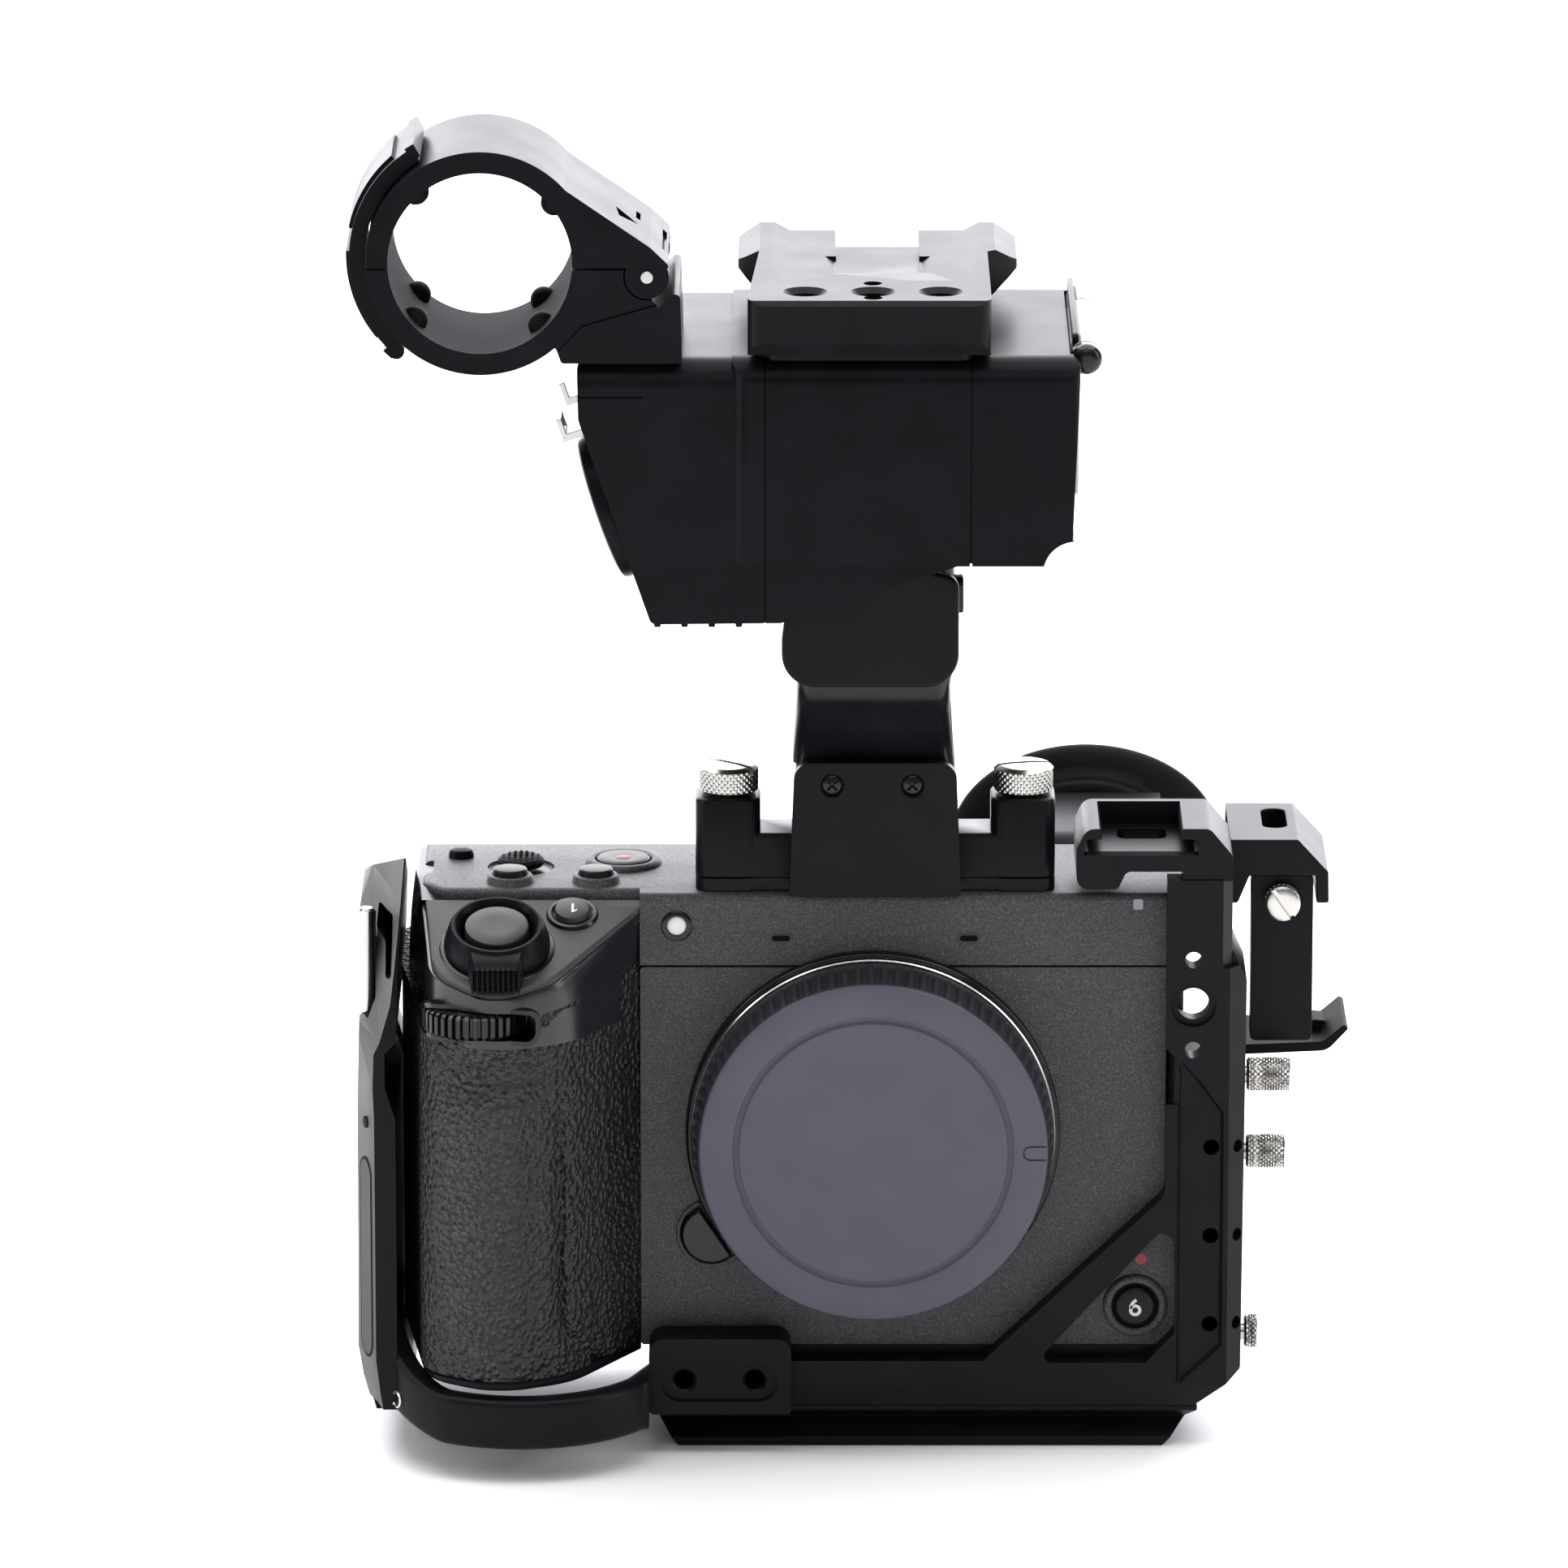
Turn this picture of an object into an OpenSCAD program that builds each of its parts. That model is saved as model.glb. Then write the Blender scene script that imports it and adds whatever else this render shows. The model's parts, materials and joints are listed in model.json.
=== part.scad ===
// Cinema camera rig: camera body in a half cage, with a top handle, audio module and microphone clamp.
// +X is to the right seen from the front, +Y runs away from the lens, +Z is up.
// The origin is the mouth of the tripod thread, under the lens axis. Millimetres.

/* [Camera body] */
// Side of the body that carries the grip
body_left = 38.5; // [38.3:0.1:38.7]
// Side of the body that carries the ports
body_right = 51.3; // [51.1:0.1:51.4]
// Height of the body's underside
body_low = 17; // [17:0.1:17.2]
// Height of the body's flat top
body_high = 94.8; // [94.7:0.1:94.9]
// Front face, measured forwards from the origin
body_front = 24; // [23.8:0.1:24]
// Rear face, measured backwards from the origin
body_back = 24; // [23.8:0.1:24]
// Height of the seam between the front and top covers
seam_z = 82.3; // [81:0.1:84]
// Wall thickness of the covers
wall = 2; // [1.6:0.1:2.2]

/* [Lens mount] */
// Height of the lens axis
mount_z = 54.2; // [53.5:0.1:55]
// Radius of the mount's trim ring
mount_r = 31; // [30.5:0.1:31.4]
// Radius of the mount's throat
throat_r = 23.05; // [22.9:0.05:23.2]
// Radius of the body cap's rim
cap_r = 30; // [29.6:0.1:30.2]
// Thickness of the body cap
cap_t = 10; // [9:0.5:11]

/* [Controls] */
// Radius of the front dial
dial_r = 10; // [9.6:0.1:10.2]
// Radius of the shutter button
shutter_r = 5.3; // [5:0.1:5.4]
// Radius of the small push buttons
button_r = 2.85; // [2.6:0.05:3]
// Travel of the push buttons
button_travel = 0.8; // [0.5:0.1:1]

/* [Cage and base] */
// Thickness of the dovetail plate
base_t = 7.2; // [7:0.1:7.4]
// Radius of a quarter inch thread
quarter_r = 2.65; // [2.6:0.05:3]
// Radius of a three eighths inch thread
three_eighths_r = 4.1; // [4:0.05:4.5]
// Depth of the cage's side member
side_depth = 19; // [18:0.5:20]
// Width of a cold shoe's slot under its lips
shoe_w = 18.8; // [18.6:0.1:19]
// Width of a cold shoe's slot between its lips
shoe_open = 13; // [12.6:0.1:13.4]

/* [Handle and audio module] */
// Height of the audio module's underside
module_low = 156.9; // [156.5:0.1:157.5]
// Height of the audio module's top
module_high = 191; // [190:0.5:192]
// Rear end of the hand grip
bar_end = 88; // [80:1:95]
// Radius of the thumbscrew heads
thumb_r = 5; // [4.6:0.1:5.1]

/* [Microphone clamp] */
// Inner radius of the clamp ring
ring_in = 15; // [14.6:0.1:15.2]
// Outer radius of the clamp ring
ring_out = 18.5; // [18.3:0.1:18.6]
// Length of the clamp ring
ring_len = 30; // [28:1:32]

/* [Hidden] */

black_metal = "#24262a";
black_plastic = "#1d1f22";
speckled = "#3a3b3f";
leather = "#202124";
silver = "#c9c7c2";
cap_grey = "#4c4c55";
smooth = 72;
gap = 0.3;

// Panel over the grip that slopes down towards the front
slope = 0.4;
slope_deg = atan(slope);
slope_top = body_high + 7;
slope_edge = -7 / slope;
grip_left = 77.3;
grip_front = 48.5;
skin_t = 1.2;
skin_top = 74.6;
dial_at = [-65.3, -38.5, 78.2];
lever_at = [-61.8, -33.7];
custom_at = [-49.6, -25.3];
rec_at = [-41.4, -4.4];
iso_at = [-60, -15.9];
wb_at = [-45.8, -15.9];
stick_at = [-58.4, -6.8];
switch_at = [-68.5, 2];
front_rec_at = [43.7, 23.9];
release_dir = 213.5;
release_at = 34.4;
tally_at = [-32.4, 89.4];

// Axes of the viewfinder, the screen, the port door and the battery door
evf_at = [36.8, 21, 87];
evf_half = 12.5;
cup_a = 23;
cup_b = 17;
cup_z = 83.3;
lcd_axis = [49.6, 27.4];
lcd_low = 20;
lcd_high = 64;
door_axis = [52.8, 62.4];
lid_axis = [-47.5, 15.75];

// Cage
side_in = 48.3;
side_out = 59.2;
side_low_out = 61.8;
window_x = 50.3;
strut_high = 46.5;
cage_front = 28;
side_y = -28 + 3.8;
beam_high = 15.4;
block_right = -13.5;
block_left = -37.1;
shoe_floor = 103.1;
shoe_top = 107.1;
shoe_low = 97.3;
shoe_x = 44;
knob_y = -17;
band_at = [-58.2, -22.5];

// Handle
foot_screw_x = [-23.8, 24.8];
foot_y = -17;
foot_top = 110.5;
ledge_z = 104.6;
slant_deg = 109.15;
jack_at = [-42.2, 164];
jack_y = [-36, -10];
cover_axis = [34.1, 189.7];
ring_at = [-63.5, 206.9];
ring_front = -50;
pin_at = [-36.7, 204.7];
latch_at = [-77.1, 191.6];
split_z = 206;

// ---- outlines and placing ----

function unit(v) = v / norm(v);
function turned(d) = d > 180 ? d - 360 : (d < -180 ? d + 360 : d);
// Points of the arc of radius r that rounds the corner p between a and b
function fillet(a, p, b, r, n) =
    r <= 0 ? [p] :
    let (
        u = unit(a - p),
        v = unit(b - p),
        half = acos(u * v) / 2,
        c = p + unit(u + v) * (r / sin(half)),
        s = p + u * (r / tan(half)) - c,
        e = p + v * (r / tan(half)) - c,
        from = atan2(s[1], s[0]),
        sweep = turned(atan2(e[1], e[0]) - from)
    )
    [for (i = [0:n]) c + r * [cos(from + sweep * i / n), sin(from + sweep * i / n)]];
// Closed outline from corners given as [x, y, radius]
function outline(pts, n = 5) = [
    for (i = [0:len(pts) - 1])
        let (k = len(pts), a = pts[(i + k - 1) % k], p = pts[i], b = pts[(i + 1) % k])
        for (q = fillet([a[0], a[1]], [p[0], p[1]], [b[0], b[1]], p[2], n)) q
];
function box2(x0, y0, x1, y1, r) = outline([[x0, y0, r], [x1, y0, r], [x1, y1, r], [x0, y1, r]]);
function ellipse(a, b, n = 48) = [for (i = [0:n - 1]) [a * cos(360 * i / n), b * sin(360 * i / n)]];
function arc(c, r, from, to, n = 24) =
    [for (i = [0:n]) let (t = from + (to - from) * i / n) [c[0] + r * cos(t), c[1] + r * sin(t)]];

// A flat outline drawn in X and Z, run along Y
module along_y(y0, y1) translate([0, y1, 0]) rotate([90, 0, 0]) linear_extrude(y1 - y0) children();
// A flat outline drawn in Y and Z, run along X
module along_x(x0, x1) translate([x0, 0, 0]) rotate([90, 0, 90]) linear_extrude(x1 - x0) children();
module along_z(z0, z1) translate([0, 0, z0]) linear_extrude(z1 - z0) children();
module box(a, b) translate(a) cube(b - a);
module rod_x(y, z, x0, x1, r)
    translate([x0, y, z]) rotate([0, 90, 0]) cylinder(h = x1 - x0, r = r, $fn = smooth);
module rod_y(x, z, y0, y1, r)
    translate([x, y1, z]) rotate([90, 0, 0]) cylinder(h = y1 - y0, r = r, $fn = smooth);
module rod_z(x, y, z0, z1, r) translate([x, y, z0]) cylinder(h = z1 - z0, r = r, $fn = smooth);
// Places children on the sloping panel, with their Z along its normal
module on_slope(p) translate([p[0], p[1], slope_top + slope * p[1]]) rotate([slope_deg, 0, 0]) children();
// Places children on the slanted side of the audio module, with their Z outwards
module on_slant(y) translate([jack_at[0], y, jack_at[1]]) rotate([0, -slant_deg, 0]) children();

// ---- base and cage ----

module dovetail_plate() color(black_metal) difference() {
    intersection() {
        along_y(-26, 24)
            polygon([[-32.4, 0], [48.4, 0], [54.1, 6], [54.1, base_t], [-37.1, base_t], [-37.1, 6]]);
        along_x(-60, 60) polygon([[-26, 0], [24, 0], [24, 1.4], [20, 4], [24, 6.2], [24, base_t],
            [-26, base_t], [-26, 6.2], [-22, 4], [-26, 1.4]]);
    }
    rod_z(0, 0, -1, base_t + 1, quarter_r);
    rod_z(24, 0, -1, base_t + 1, three_eighths_r);
}

module cage_base() color(black_metal) difference() {
    union() {
        along_z(base_t, body_low) polygon(box2(block_left, -24, side_in, 22, 3));
        along_x(block_right - 4, side_in) polygon([[-24, base_t], [-30, base_t], [-31, 8.8],
            [-31, 14.4], [-30, beam_high], [-24, beam_high]]);
        along_y(-31.5, -body_front) polygon(box2(block_left, base_t, block_right, 20.3, 2.2));
        box([block_left, -31.5, base_t], [block_left + 4, -body_front, 12]);
    }
    along_y(-33, -30.3) polygon(box2(-35.1, 9.4, -15.8, 16.2, 3.3));
    for (x = [-31.3, -19.6]) rod_y(x, 12.8, -33, -24.5, 1.65);
    box([-14, -18, base_t - 1], [32, -8, body_low + 1]);
    box([-14, 6, base_t - 1], [32, 16, body_low + 1]);
}

module cold_shoe_slot(floor_z, top_z, y0, y1) {
    box([-shoe_w / 2, y0, floor_z], [shoe_w / 2, y1, floor_z + 2.2]);
    box([-shoe_open / 2, y0, floor_z + 1], [shoe_open / 2, y1, top_z + 1]);
}

module cage_side() color(black_metal) difference() {
    union() {
        // Front flange
        along_y(-cage_front, side_y)
            polygon(outline([[side_in, base_t, 0], [53.4, base_t, 0], [61.4, 11.5, 1], [side_low_out, 80, 1],
                [side_out, 86, 1], [side_out, shoe_low, 0], [side_in, shoe_low, 0], [side_in, strut_high, 0],
                [window_x, strut_high, 0], [window_x, 20.3, 1], [side_in, 18, 0]]));
        // Side wall beside the body
        along_y(side_y, -cage_front + side_depth)
            polygon([[body_right + gap, base_t], [53.4, base_t], [61.4, 11.5], [side_low_out, 80],
                [side_out, 86], [side_out, shoe_low], [body_right + gap, shoe_low]]);
    }
    rod_y(52.8, 77.1, -30, side_y + 1, quarter_r);
    rod_y(52.8, 77.1, -30, -27.4, quarter_r + 1.1);
    for (z = [84.8, 69.4]) rod_y(52.8, z, -30, side_y + 1, 1.4);
    // Clear passage behind the three upper holes
    box([side_in, side_y, 66], [56.4, -8, 88]);
    for (z = [52.4, 37.1, 21.8]) rod_y(56, z, -30, -22, 1.35);
    for (z = [61.9, 48.6, 17.2]) rod_x(knob_y, z, 55, 64, 1.6);
}

// Diagonal strut from the base beam up to the side member
module cage_strut() color(black_metal) along_y(-cage_front, side_y)
    polygon(outline([[18.2, beam_high, 0], [side_in, 44.3, 4], [side_in, strut_high, 0],
        [window_x, strut_high, 0], [window_x, 38, 0], [28.3, beam_high, 0]]));

// Cold shoe block on top of the side member, over the body
module cage_shoe() color(black_metal) difference() {
    along_y(-27, -cage_front + side_depth)
        polygon(outline([[33.2, shoe_low, 1.5], [side_in + 3, shoe_low, 0], [side_out, shoe_low, 0],
            [side_out, 101.5, 0.5], [54.8, shoe_top, 0.8], [35.4, shoe_top, 0.8], [33.2, 104.4, 0.5]]));
    translate([shoe_x, 0, 0]) cold_shoe_slot(shoe_floor, shoe_top, -30, -10.6);
    box([40.3, -17.5, shoe_low - 1], [48.4, -12.5, shoe_floor + 1]);
}

module guard_band() color(black_metal) {
    along_z(6, 14.6) polygon(concat(
        arc(band_at, 25, 215, 326, 30),
        [[block_left, -36.5], [block_left, -26], [-40.8, -30.5]],
        arc(band_at, 21, 330, 219, 30)
    ));
}

module guard_upright() color(black_metal) {
    difference() {
        along_y(-36, 20) polygon([[-82, 6], [-85.4, 16], [-84.9, 77.8], [-81.9, 80.6], [-81.9, 84.4],
            [-84.8, 93.8], [-83.1, 101.6], [-77.9, 104.6], [-76.3, 104.6], [-78.1, 92], [-78.1, 84],
            [-78.6, 72.8], [-80.6, 70.7], [-80.6, 65], [-78.7, 59.6], [-78.7, 20], [-76.8, 14.6],
            [-76.8, 6]]);
        box([-90, -40, 0], [-70, -24.5, 14.6]);
        box([-86, -26, 75], [-81.9, -18, 90]);
        box([-90, 4, 22], [-70, 12, 66]);
        box([-90, -12, 96], [-79, 4, 99.5]);
        box([-90, -30, 9], [-80, -12, 13]);
        rod_z(-83.6, -22, 70, 95, 1.3);
    }
    // Arm under the grip that joins the guard to the base
    along_z(base_t, 13) polygon([[-76.8, 12], [block_left, 12], [block_left, 20], [-76.8, 20]]);
}

module strap_pin() color(silver) rod_z(-83.6, -22, 72, 92, 1.3);

module clamp_arm() color(black_metal) difference() {
    along_y(-12, 12) polygon(outline([[side_out, 100.8, 0], [side_out, 89.9, 0], [60.6, 89.9, 0],
        [62.5, 94.6, 0.5], [73.6, 94.6, 0], [73.6, 89.9, 0], [75.7, 89.9, 0.4],
        [75.6, 95.2, 0.6], [70.5, 100.8, 0.6]]));
    along_z(90, 105) polygon(box2(65, -4, 69, 8, 1.9));
}

module clamp_bar() color(black_metal) difference() {
    along_y(-10, -5) polygon(box2(62.9, 65.6, 73.2, 94.2, 1));
    rod_y(68, 90, -12, -4, 1.5);
}

module knurled_head(x0, x1, y, z, r) difference() {
    rod_x(y, z, x0, x1, r);
    box([x1 - 0.9, y - 0.5, z - r - 1], [x1 + 1, y + 0.5, z + r + 1]);
}

module clamp_screw() color(silver) {
    difference() {
        rod_y(68, 90, -13, -10 - gap, 3);
        box([64, -14, 89.5], [72, -12.1, 90.5]);
    }
    rod_y(68, 90, -10.4, -5, 1.35);
}

module side_knob(z, length) color(silver) {
    knurled_head(side_low_out + gap, side_low_out + length, knob_y, z, 2.9);
    rod_x(knob_y, z, 56, side_low_out + 1, 1.5);
}
module side_knob_upper() side_knob(61.9, 7.6);
module side_knob_lower() side_knob(48.6, 6.9);
module cage_lock_screw() side_knob(17.2, 2.6);

// ---- camera covers ----

module front_cover() color(speckled) {
    difference() {
        along_y(-body_front, 0) polygon(box2(-body_left, body_low, body_right, seam_z, 0.6));
        box([-body_left + wall, -body_front + wall, body_low + wall], [body_right - wall, 1, seam_z + 1]);
        rod_y(0, mount_z, -30, 0, 28);
        rod_y(front_rec_at[0], front_rec_at[1], -30, 0, 3.4);
        translate([0, 0, mount_z]) rotate([0, -release_dir, 0]) translate([release_at, 0, 0])
            along_y(-30, 0) polygon(box2(-2.8, -4.7, 2.8, 4.7, 2.7));
    }
    difference() {
        rod_y(front_rec_at[0], front_rec_at[1], -body_front - 0.7, -body_front, 5.2);
        rod_y(front_rec_at[0], front_rec_at[1], -30, 0, 4.3);
    }
}

function grip_top_outline() = outline([[-body_left, 20, 0], [-body_left, -23, 0], [-46.5, -25.5, 4],
    [-53, -41, 6], [-62.5, -46.5, 8], [-72.5, -40, 8], [-75.2, -10, 6], [-75.2, 16, 4], [-71, 20, 3]]);

module raised_ring(p, r_out, r_in, h) difference() {
    rod_z(p[0], p[1], body_high - 0.5, body_high + h, r_out);
    rod_z(p[0], p[1], body_high - 1, body_high + 2, r_in);
}

module top_cover() color(speckled) {
    difference() {
        union() {
            along_x(-body_left, body_right) polygon(outline([[-body_front, seam_z, 0],
                [-body_front, body_high, 1.2], [7, body_high, 0], [22.4, 90.8, 1], [body_back, 87, 1],
                [body_back, seam_z, 0]]));
            intersection() {
                along_z(60, 100) polygon(grip_top_outline());
                along_x(-80, -body_left) polygon([[-50, slope_top - 50 * slope], [slope_edge, body_high],
                    [20, body_high], [20, body_high - wall], [slope_edge, body_high - wall],
                    [-50, slope_top - wall - 50 * slope]]);
            }
        }
        box([-body_left + wall, -body_front + wall, seam_z - 1], [20.9, 13, body_high - wall]);
        box([-body_left + wall, 10, seam_z - 1], [20.9, body_back - wall, 88]);
        box([23.9, -body_front + wall, seam_z - 1], [49.7, 11, body_high - wall]);
        box([23.9, 13.2, seam_z - 1], [49.7, 30, 100]);
        rod_x(evf_at[1], evf_at[2], 21.3, 50.5, 2.5);
        rod_z(rec_at[0], rec_at[1], 80, 100, 4.75);
        rod_z(iso_at[0], iso_at[1], 80, 100, button_r + gap);
        rod_z(wb_at[0], wb_at[1], 80, 100, button_r + gap);
        rod_z(stick_at[0], stick_at[1], 80, 100, 5);
        along_z(80, 100) polygon(box2(switch_at[0] - 2.6, switch_at[1] - 5, switch_at[0] + 2.6,
            switch_at[1] + 5, 2.5));
        on_slope(lever_at) cylinder(h = 20, r = 2.3, center = true, $fn = smooth);
        on_slope(custom_at) cylinder(h = 20, r = button_r + gap, center = true, $fn = smooth);
        for (x = foot_screw_x) rod_z(x, foot_y, 90, 100, 2.5);
        rod_y(tally_at[0], tally_at[1], -30, -20, 2.42);
        for (x = [-15.2, 15.8]) box([x - 1.65, -30, 86.7], [x + 1.65, -body_front + 1, 87.9]);
        box([43, -30, 92.4], [44.6, -body_front + 0.8, 93.6]);
    }
    raised_ring(rec_at, 6.25, 5.2, 0.5);
    raised_ring(iso_at, 3.9, button_r + gap, 0.4);
    raised_ring(wb_at, 3.9, button_r + gap, 0.4);
}

module rear_cover() color(speckled) {
    difference() {
        union() {
            along_y(0, body_back) polygon(box2(-body_left, body_low, body_right, seam_z, 0.6));
            along_y(20, body_back) polygon(box2(-76, 20, -body_left, 90, 4));
        }
        box([-body_left + wall, -1, body_low + wall], [body_right - wall, body_back - wall, seam_z + 1]);
        box([23.9, 13.2, 73.3], [49.7, 30, seam_z + 1]);
        rod_y(-57, 46, 21, 30, 3.2);
    }
    for (z = [[18.5, 23.6], [60.4, 65.5]]) {
        rod_z(lcd_axis[0], lcd_axis[1], z[0], z[1], 2.6);
        box([lcd_axis[0] - 2, body_back, z[0]], [body_right, lcd_axis[1] - 1, z[1]]);
    }
}

function grip_outline(d) = outline([[-body_left, 20 - d, 0], [-body_left, -24 + d, 0],
    [-50 + d * 0.4, -42.5 + d, 6], [-62, -grip_front + d, 8], [-74 + d, -41 + d, 9],
    [-grip_left + d, -8, 10], [-grip_left + d, 14, 3], [-74 + d, 20 - d, 2]], 6);

module grip_core() color(black_plastic) difference() {
    along_z(body_low - 0.4, skin_top) polygon(grip_outline(skin_t));
    box([-71.3, -28.3, body_low - 1], [-48, 11, 70.5]);
}

module grip_skin() color(leather) difference() {
    along_z(body_low - 0.4, skin_top) polygon(grip_outline(0));
    along_z(body_low - 1, skin_top + 1) polygon(grip_outline(skin_t));
    box([-80, 12, 0], [-30, 30, 90]);
}

module grip_top() color(black_plastic) difference() {
    intersection() {
        along_z(skin_top, 95) polygon(grip_outline(0));
        along_x(-80, -body_left) polygon([[-50, skin_top], [-50, slope_top - wall - 50 * slope],
            [slope_edge, body_high - wall], [20, body_high - wall], [20, skin_top]]);
    }
    box([-73, -17, skin_top + 2], [-body_left - wall, 17, 95]);
    box([-80, 19.9, 0], [-30, 21, 90]);
    rod_z(dial_at[0], dial_at[1], dial_at[2] - 2.3, dial_at[2] + 2.3, dial_r + 0.6);
    rod_z(dial_at[0], dial_at[1], 70, 83.5, 1.6);
    rod_z(rec_at[0], rec_at[1], 88, 95, 5.2);
    for (p = [iso_at, wb_at]) rod_z(p[0], p[1], 88, 95, button_r + gap);
    on_slope(lever_at) cylinder(h = 12, r = 2.3, center = true, $fn = smooth);
    on_slope(custom_at) cylinder(h = 12, r = button_r + gap, center = true, $fn = smooth);
}

// ---- lens mount and inside ----

module lens_mount() color(silver) difference() {
    union() {
        rod_y(0, mount_z, -27, -body_front, mount_r);
        rod_y(0, mount_z, -body_front - 1, -20, 27.95);
    }
    rod_y(0, mount_z, -30, 0, throat_r);
}

module body_cap() color(cap_grey) {
    translate([0, -27.3, mount_z]) rotate([90, 0, 0]) rotate_extrude($fn = 96)
        polygon([[0, cap_t], [cap_r - 1.4, cap_t], [cap_r - 0.8, cap_t - 0.6], [cap_r, cap_t - 2],
            [cap_r, 0], [cap_r - 2, 0], [cap_r - 2, cap_t - 2.4], [throat_r - 0.3, cap_t - 2.4],
            [throat_r - 0.3, -4], [throat_r - 1.8, -4], [throat_r - 1.8, cap_t - 2.4], [0, cap_t - 2.4]]);
}

module sensor_assembly() color("#2c4a3a") {
    box([-18, -9, mount_z - 12], [18, -7.6, mount_z + 12]);
    box([-24, -7.6, mount_z - 18], [24, -6, mount_z + 18]);
    box([-34, 2, 22], [46, 3.6, 72]);
    for (x = [-20, 20]) box([x - 2, -6, mount_z - 2], [x + 2, 2, mount_z + 2]);
}

module battery() color(black_plastic) along_z(body_low + 0.4, 69.1) polygon(box2(-71, -28, -48.3, 10.7, 2));

module battery_door() color(black_plastic) {
    along_z(15.2, 16.3)
        polygon(outline([[-72, -29, 2], [lid_axis[0], -29, 0], [lid_axis[0], 10.5, 0], [-72, 10.5, 2]]));
    rod_y(lid_axis[0], lid_axis[1], -26, 8, 0.55);
}

module lens_release() color(black_plastic)
    translate([0, 0, mount_z]) rotate([0, -release_dir, 0]) translate([release_at, 0, 0])
        along_y(-body_front - 1.6, -body_front + 3) polygon(box2(-2.5, -4.4, 2.5, 4.4, 2.4));

module front_rec_button() color(black_plastic)
    rod_y(front_rec_at[0], front_rec_at[1], -body_front - 0.9, -body_front + 3, 3.1);

// ---- controls on the grip ----

module zoom_lever() color(black_plastic) on_slope(lever_at) difference() {
    union() {
        translate([0, 0, gap]) cylinder(h = 4.7, r = 8.7, $fn = smooth);
        translate([-3.85, -11.6, gap]) cube([7.7, 5, 4]);
    }
    translate([0, 0, 0]) cylinder(h = 9, r = shutter_r + gap, $fn = smooth);
}

module shutter_button() color(black_plastic) on_slope(lever_at) {
    translate([0, 0, 1.4]) cylinder(h = 4, r = shutter_r, $fn = smooth);
    translate([0, 0, -3]) cylinder(h = 5, r = 2, $fn = smooth);
}

module custom_button() color(black_plastic) on_slope(custom_at)
    translate([0, 0, -2.5]) cylinder(h = 3.7, r = button_r, $fn = smooth);

module front_dial() color(black_plastic) {
    rod_z(dial_at[0], dial_at[1], dial_at[2] - 1.8, dial_at[2] + 1.8, dial_r);
    rod_z(dial_at[0], dial_at[1], skin_top + 0.2, 83, 1.5);
}

module top_button(p, r, h) color(black_plastic) rod_z(p[0], p[1], body_high - wall, body_high + h, r);
module iso_button() top_button(iso_at, button_r, 1.2);
module wb_button() top_button(wb_at, button_r, 1.2);
module rec_button() top_button(rec_at, 4.45, 0.9);

module joystick() color(black_plastic) {
    rod_z(stick_at[0], stick_at[1], body_high - 4, body_high + 1, 1.6);
    rod_x(stick_at[1], body_high - 1, stick_at[0] - 3, stick_at[0] + 3, 0.8);
    rod_z(stick_at[0], stick_at[1], body_high + 0.6, body_high + 2.4, 3.9);
}

module power_switch() color(black_plastic)
    along_z(body_high - wall, body_high + 1.6) polygon(box2(switch_at[0] - 2.2, switch_at[1] - 4.6,
        switch_at[0] + 2.2, switch_at[1] - 0.4, 2));

// ---- viewfinder, screen and doors ----

module evf_body() color(black_plastic) {
    rod_x(evf_at[1], evf_at[2], evf_at[0] - evf_half, evf_at[0] + evf_half, 6.6);
    rod_x(evf_at[1], evf_at[2], 21.5, 50.4, 2.4);
    along_x(evf_at[0] - evf_half, evf_at[0] + evf_half)
        polygon(outline([[evf_at[1], 74.2, 0], [46, 74.2, 1.5], [46, 94, 2.5], [evf_at[1], 93.6, 0]]));
}

module evf_eyecup() color(black_plastic) translate([evf_at[0], 0, cup_z]) difference() {
    union() {
        along_y(46, 49) polygon(ellipse(16, 12));
        along_y(49, 53) polygon(ellipse(cup_a, cup_b));
    }
    along_y(47.5, 54) polygon(ellipse(12, 8.5));
    along_y(50.2, 54) polygon(ellipse(17.5, 12.5));
}

module lcd_panel() color(black_plastic) {
    along_y(25, 33) polygon(box2(-26, lcd_low, 46.4, lcd_high, 2.5));
    // Hinge barrel and its arm
    rod_z(lcd_axis[0], lcd_axis[1], 24, 60, 2.6);
    box([46.3, lcd_axis[1] - 1.6, 24], [lcd_axis[0], lcd_axis[1] + 1.6, 60]);
}

module port_door() color(speckled) {
    along_y(-4, 14) polygon([[door_axis[0], 61.4], [77.8, 62.2], [79.7, 65.4],
        [77.2, 66.2], [76.2, 64.4], [door_axis[0], 63.4]]);
    rod_y(door_axis[0], door_axis[1], -4, 14, 1);
}

module tally_lamp() color("white") rod_y(tally_at[0], tally_at[1], -body_front - 0.4, -21, 2.4);

module rear_wheel() color(black_plastic) {
    rod_y(-57, 46, body_back + gap, body_back + 2.6, 11.5);
    rod_y(-57, 46, 21.5, body_back + 1, 3.1);
}

// ---- top handle ----

module handle_foot() color(black_metal) difference() {
    union() {
        along_z(body_high, body_high + 1.2) polygon(box2(-29, -22.4, 30, -11.6, 3));
        along_y(-22, -12) polygon(outline([[-28.6, body_high + 1.2, 0], [29.6, body_high + 1.2, 0],
            [29.6, foot_top, 0.8], [19.8, foot_top, 0.8], [19.8, ledge_z, 1.5], [-18.8, ledge_z, 1.5],
            [-18.8, foot_top, 0.8], [-28.6, foot_top, 0.8]]));
        box([-12.8, -24.5, body_high], [13.4, 8, 117]);
    }
    for (x = foot_screw_x) rod_z(x, foot_y, 90, 120, 2.5);
    for (x = [-6.8, 6.4]) rod_y(x, 114.1, -30, -18, 1.1);
}

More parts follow.
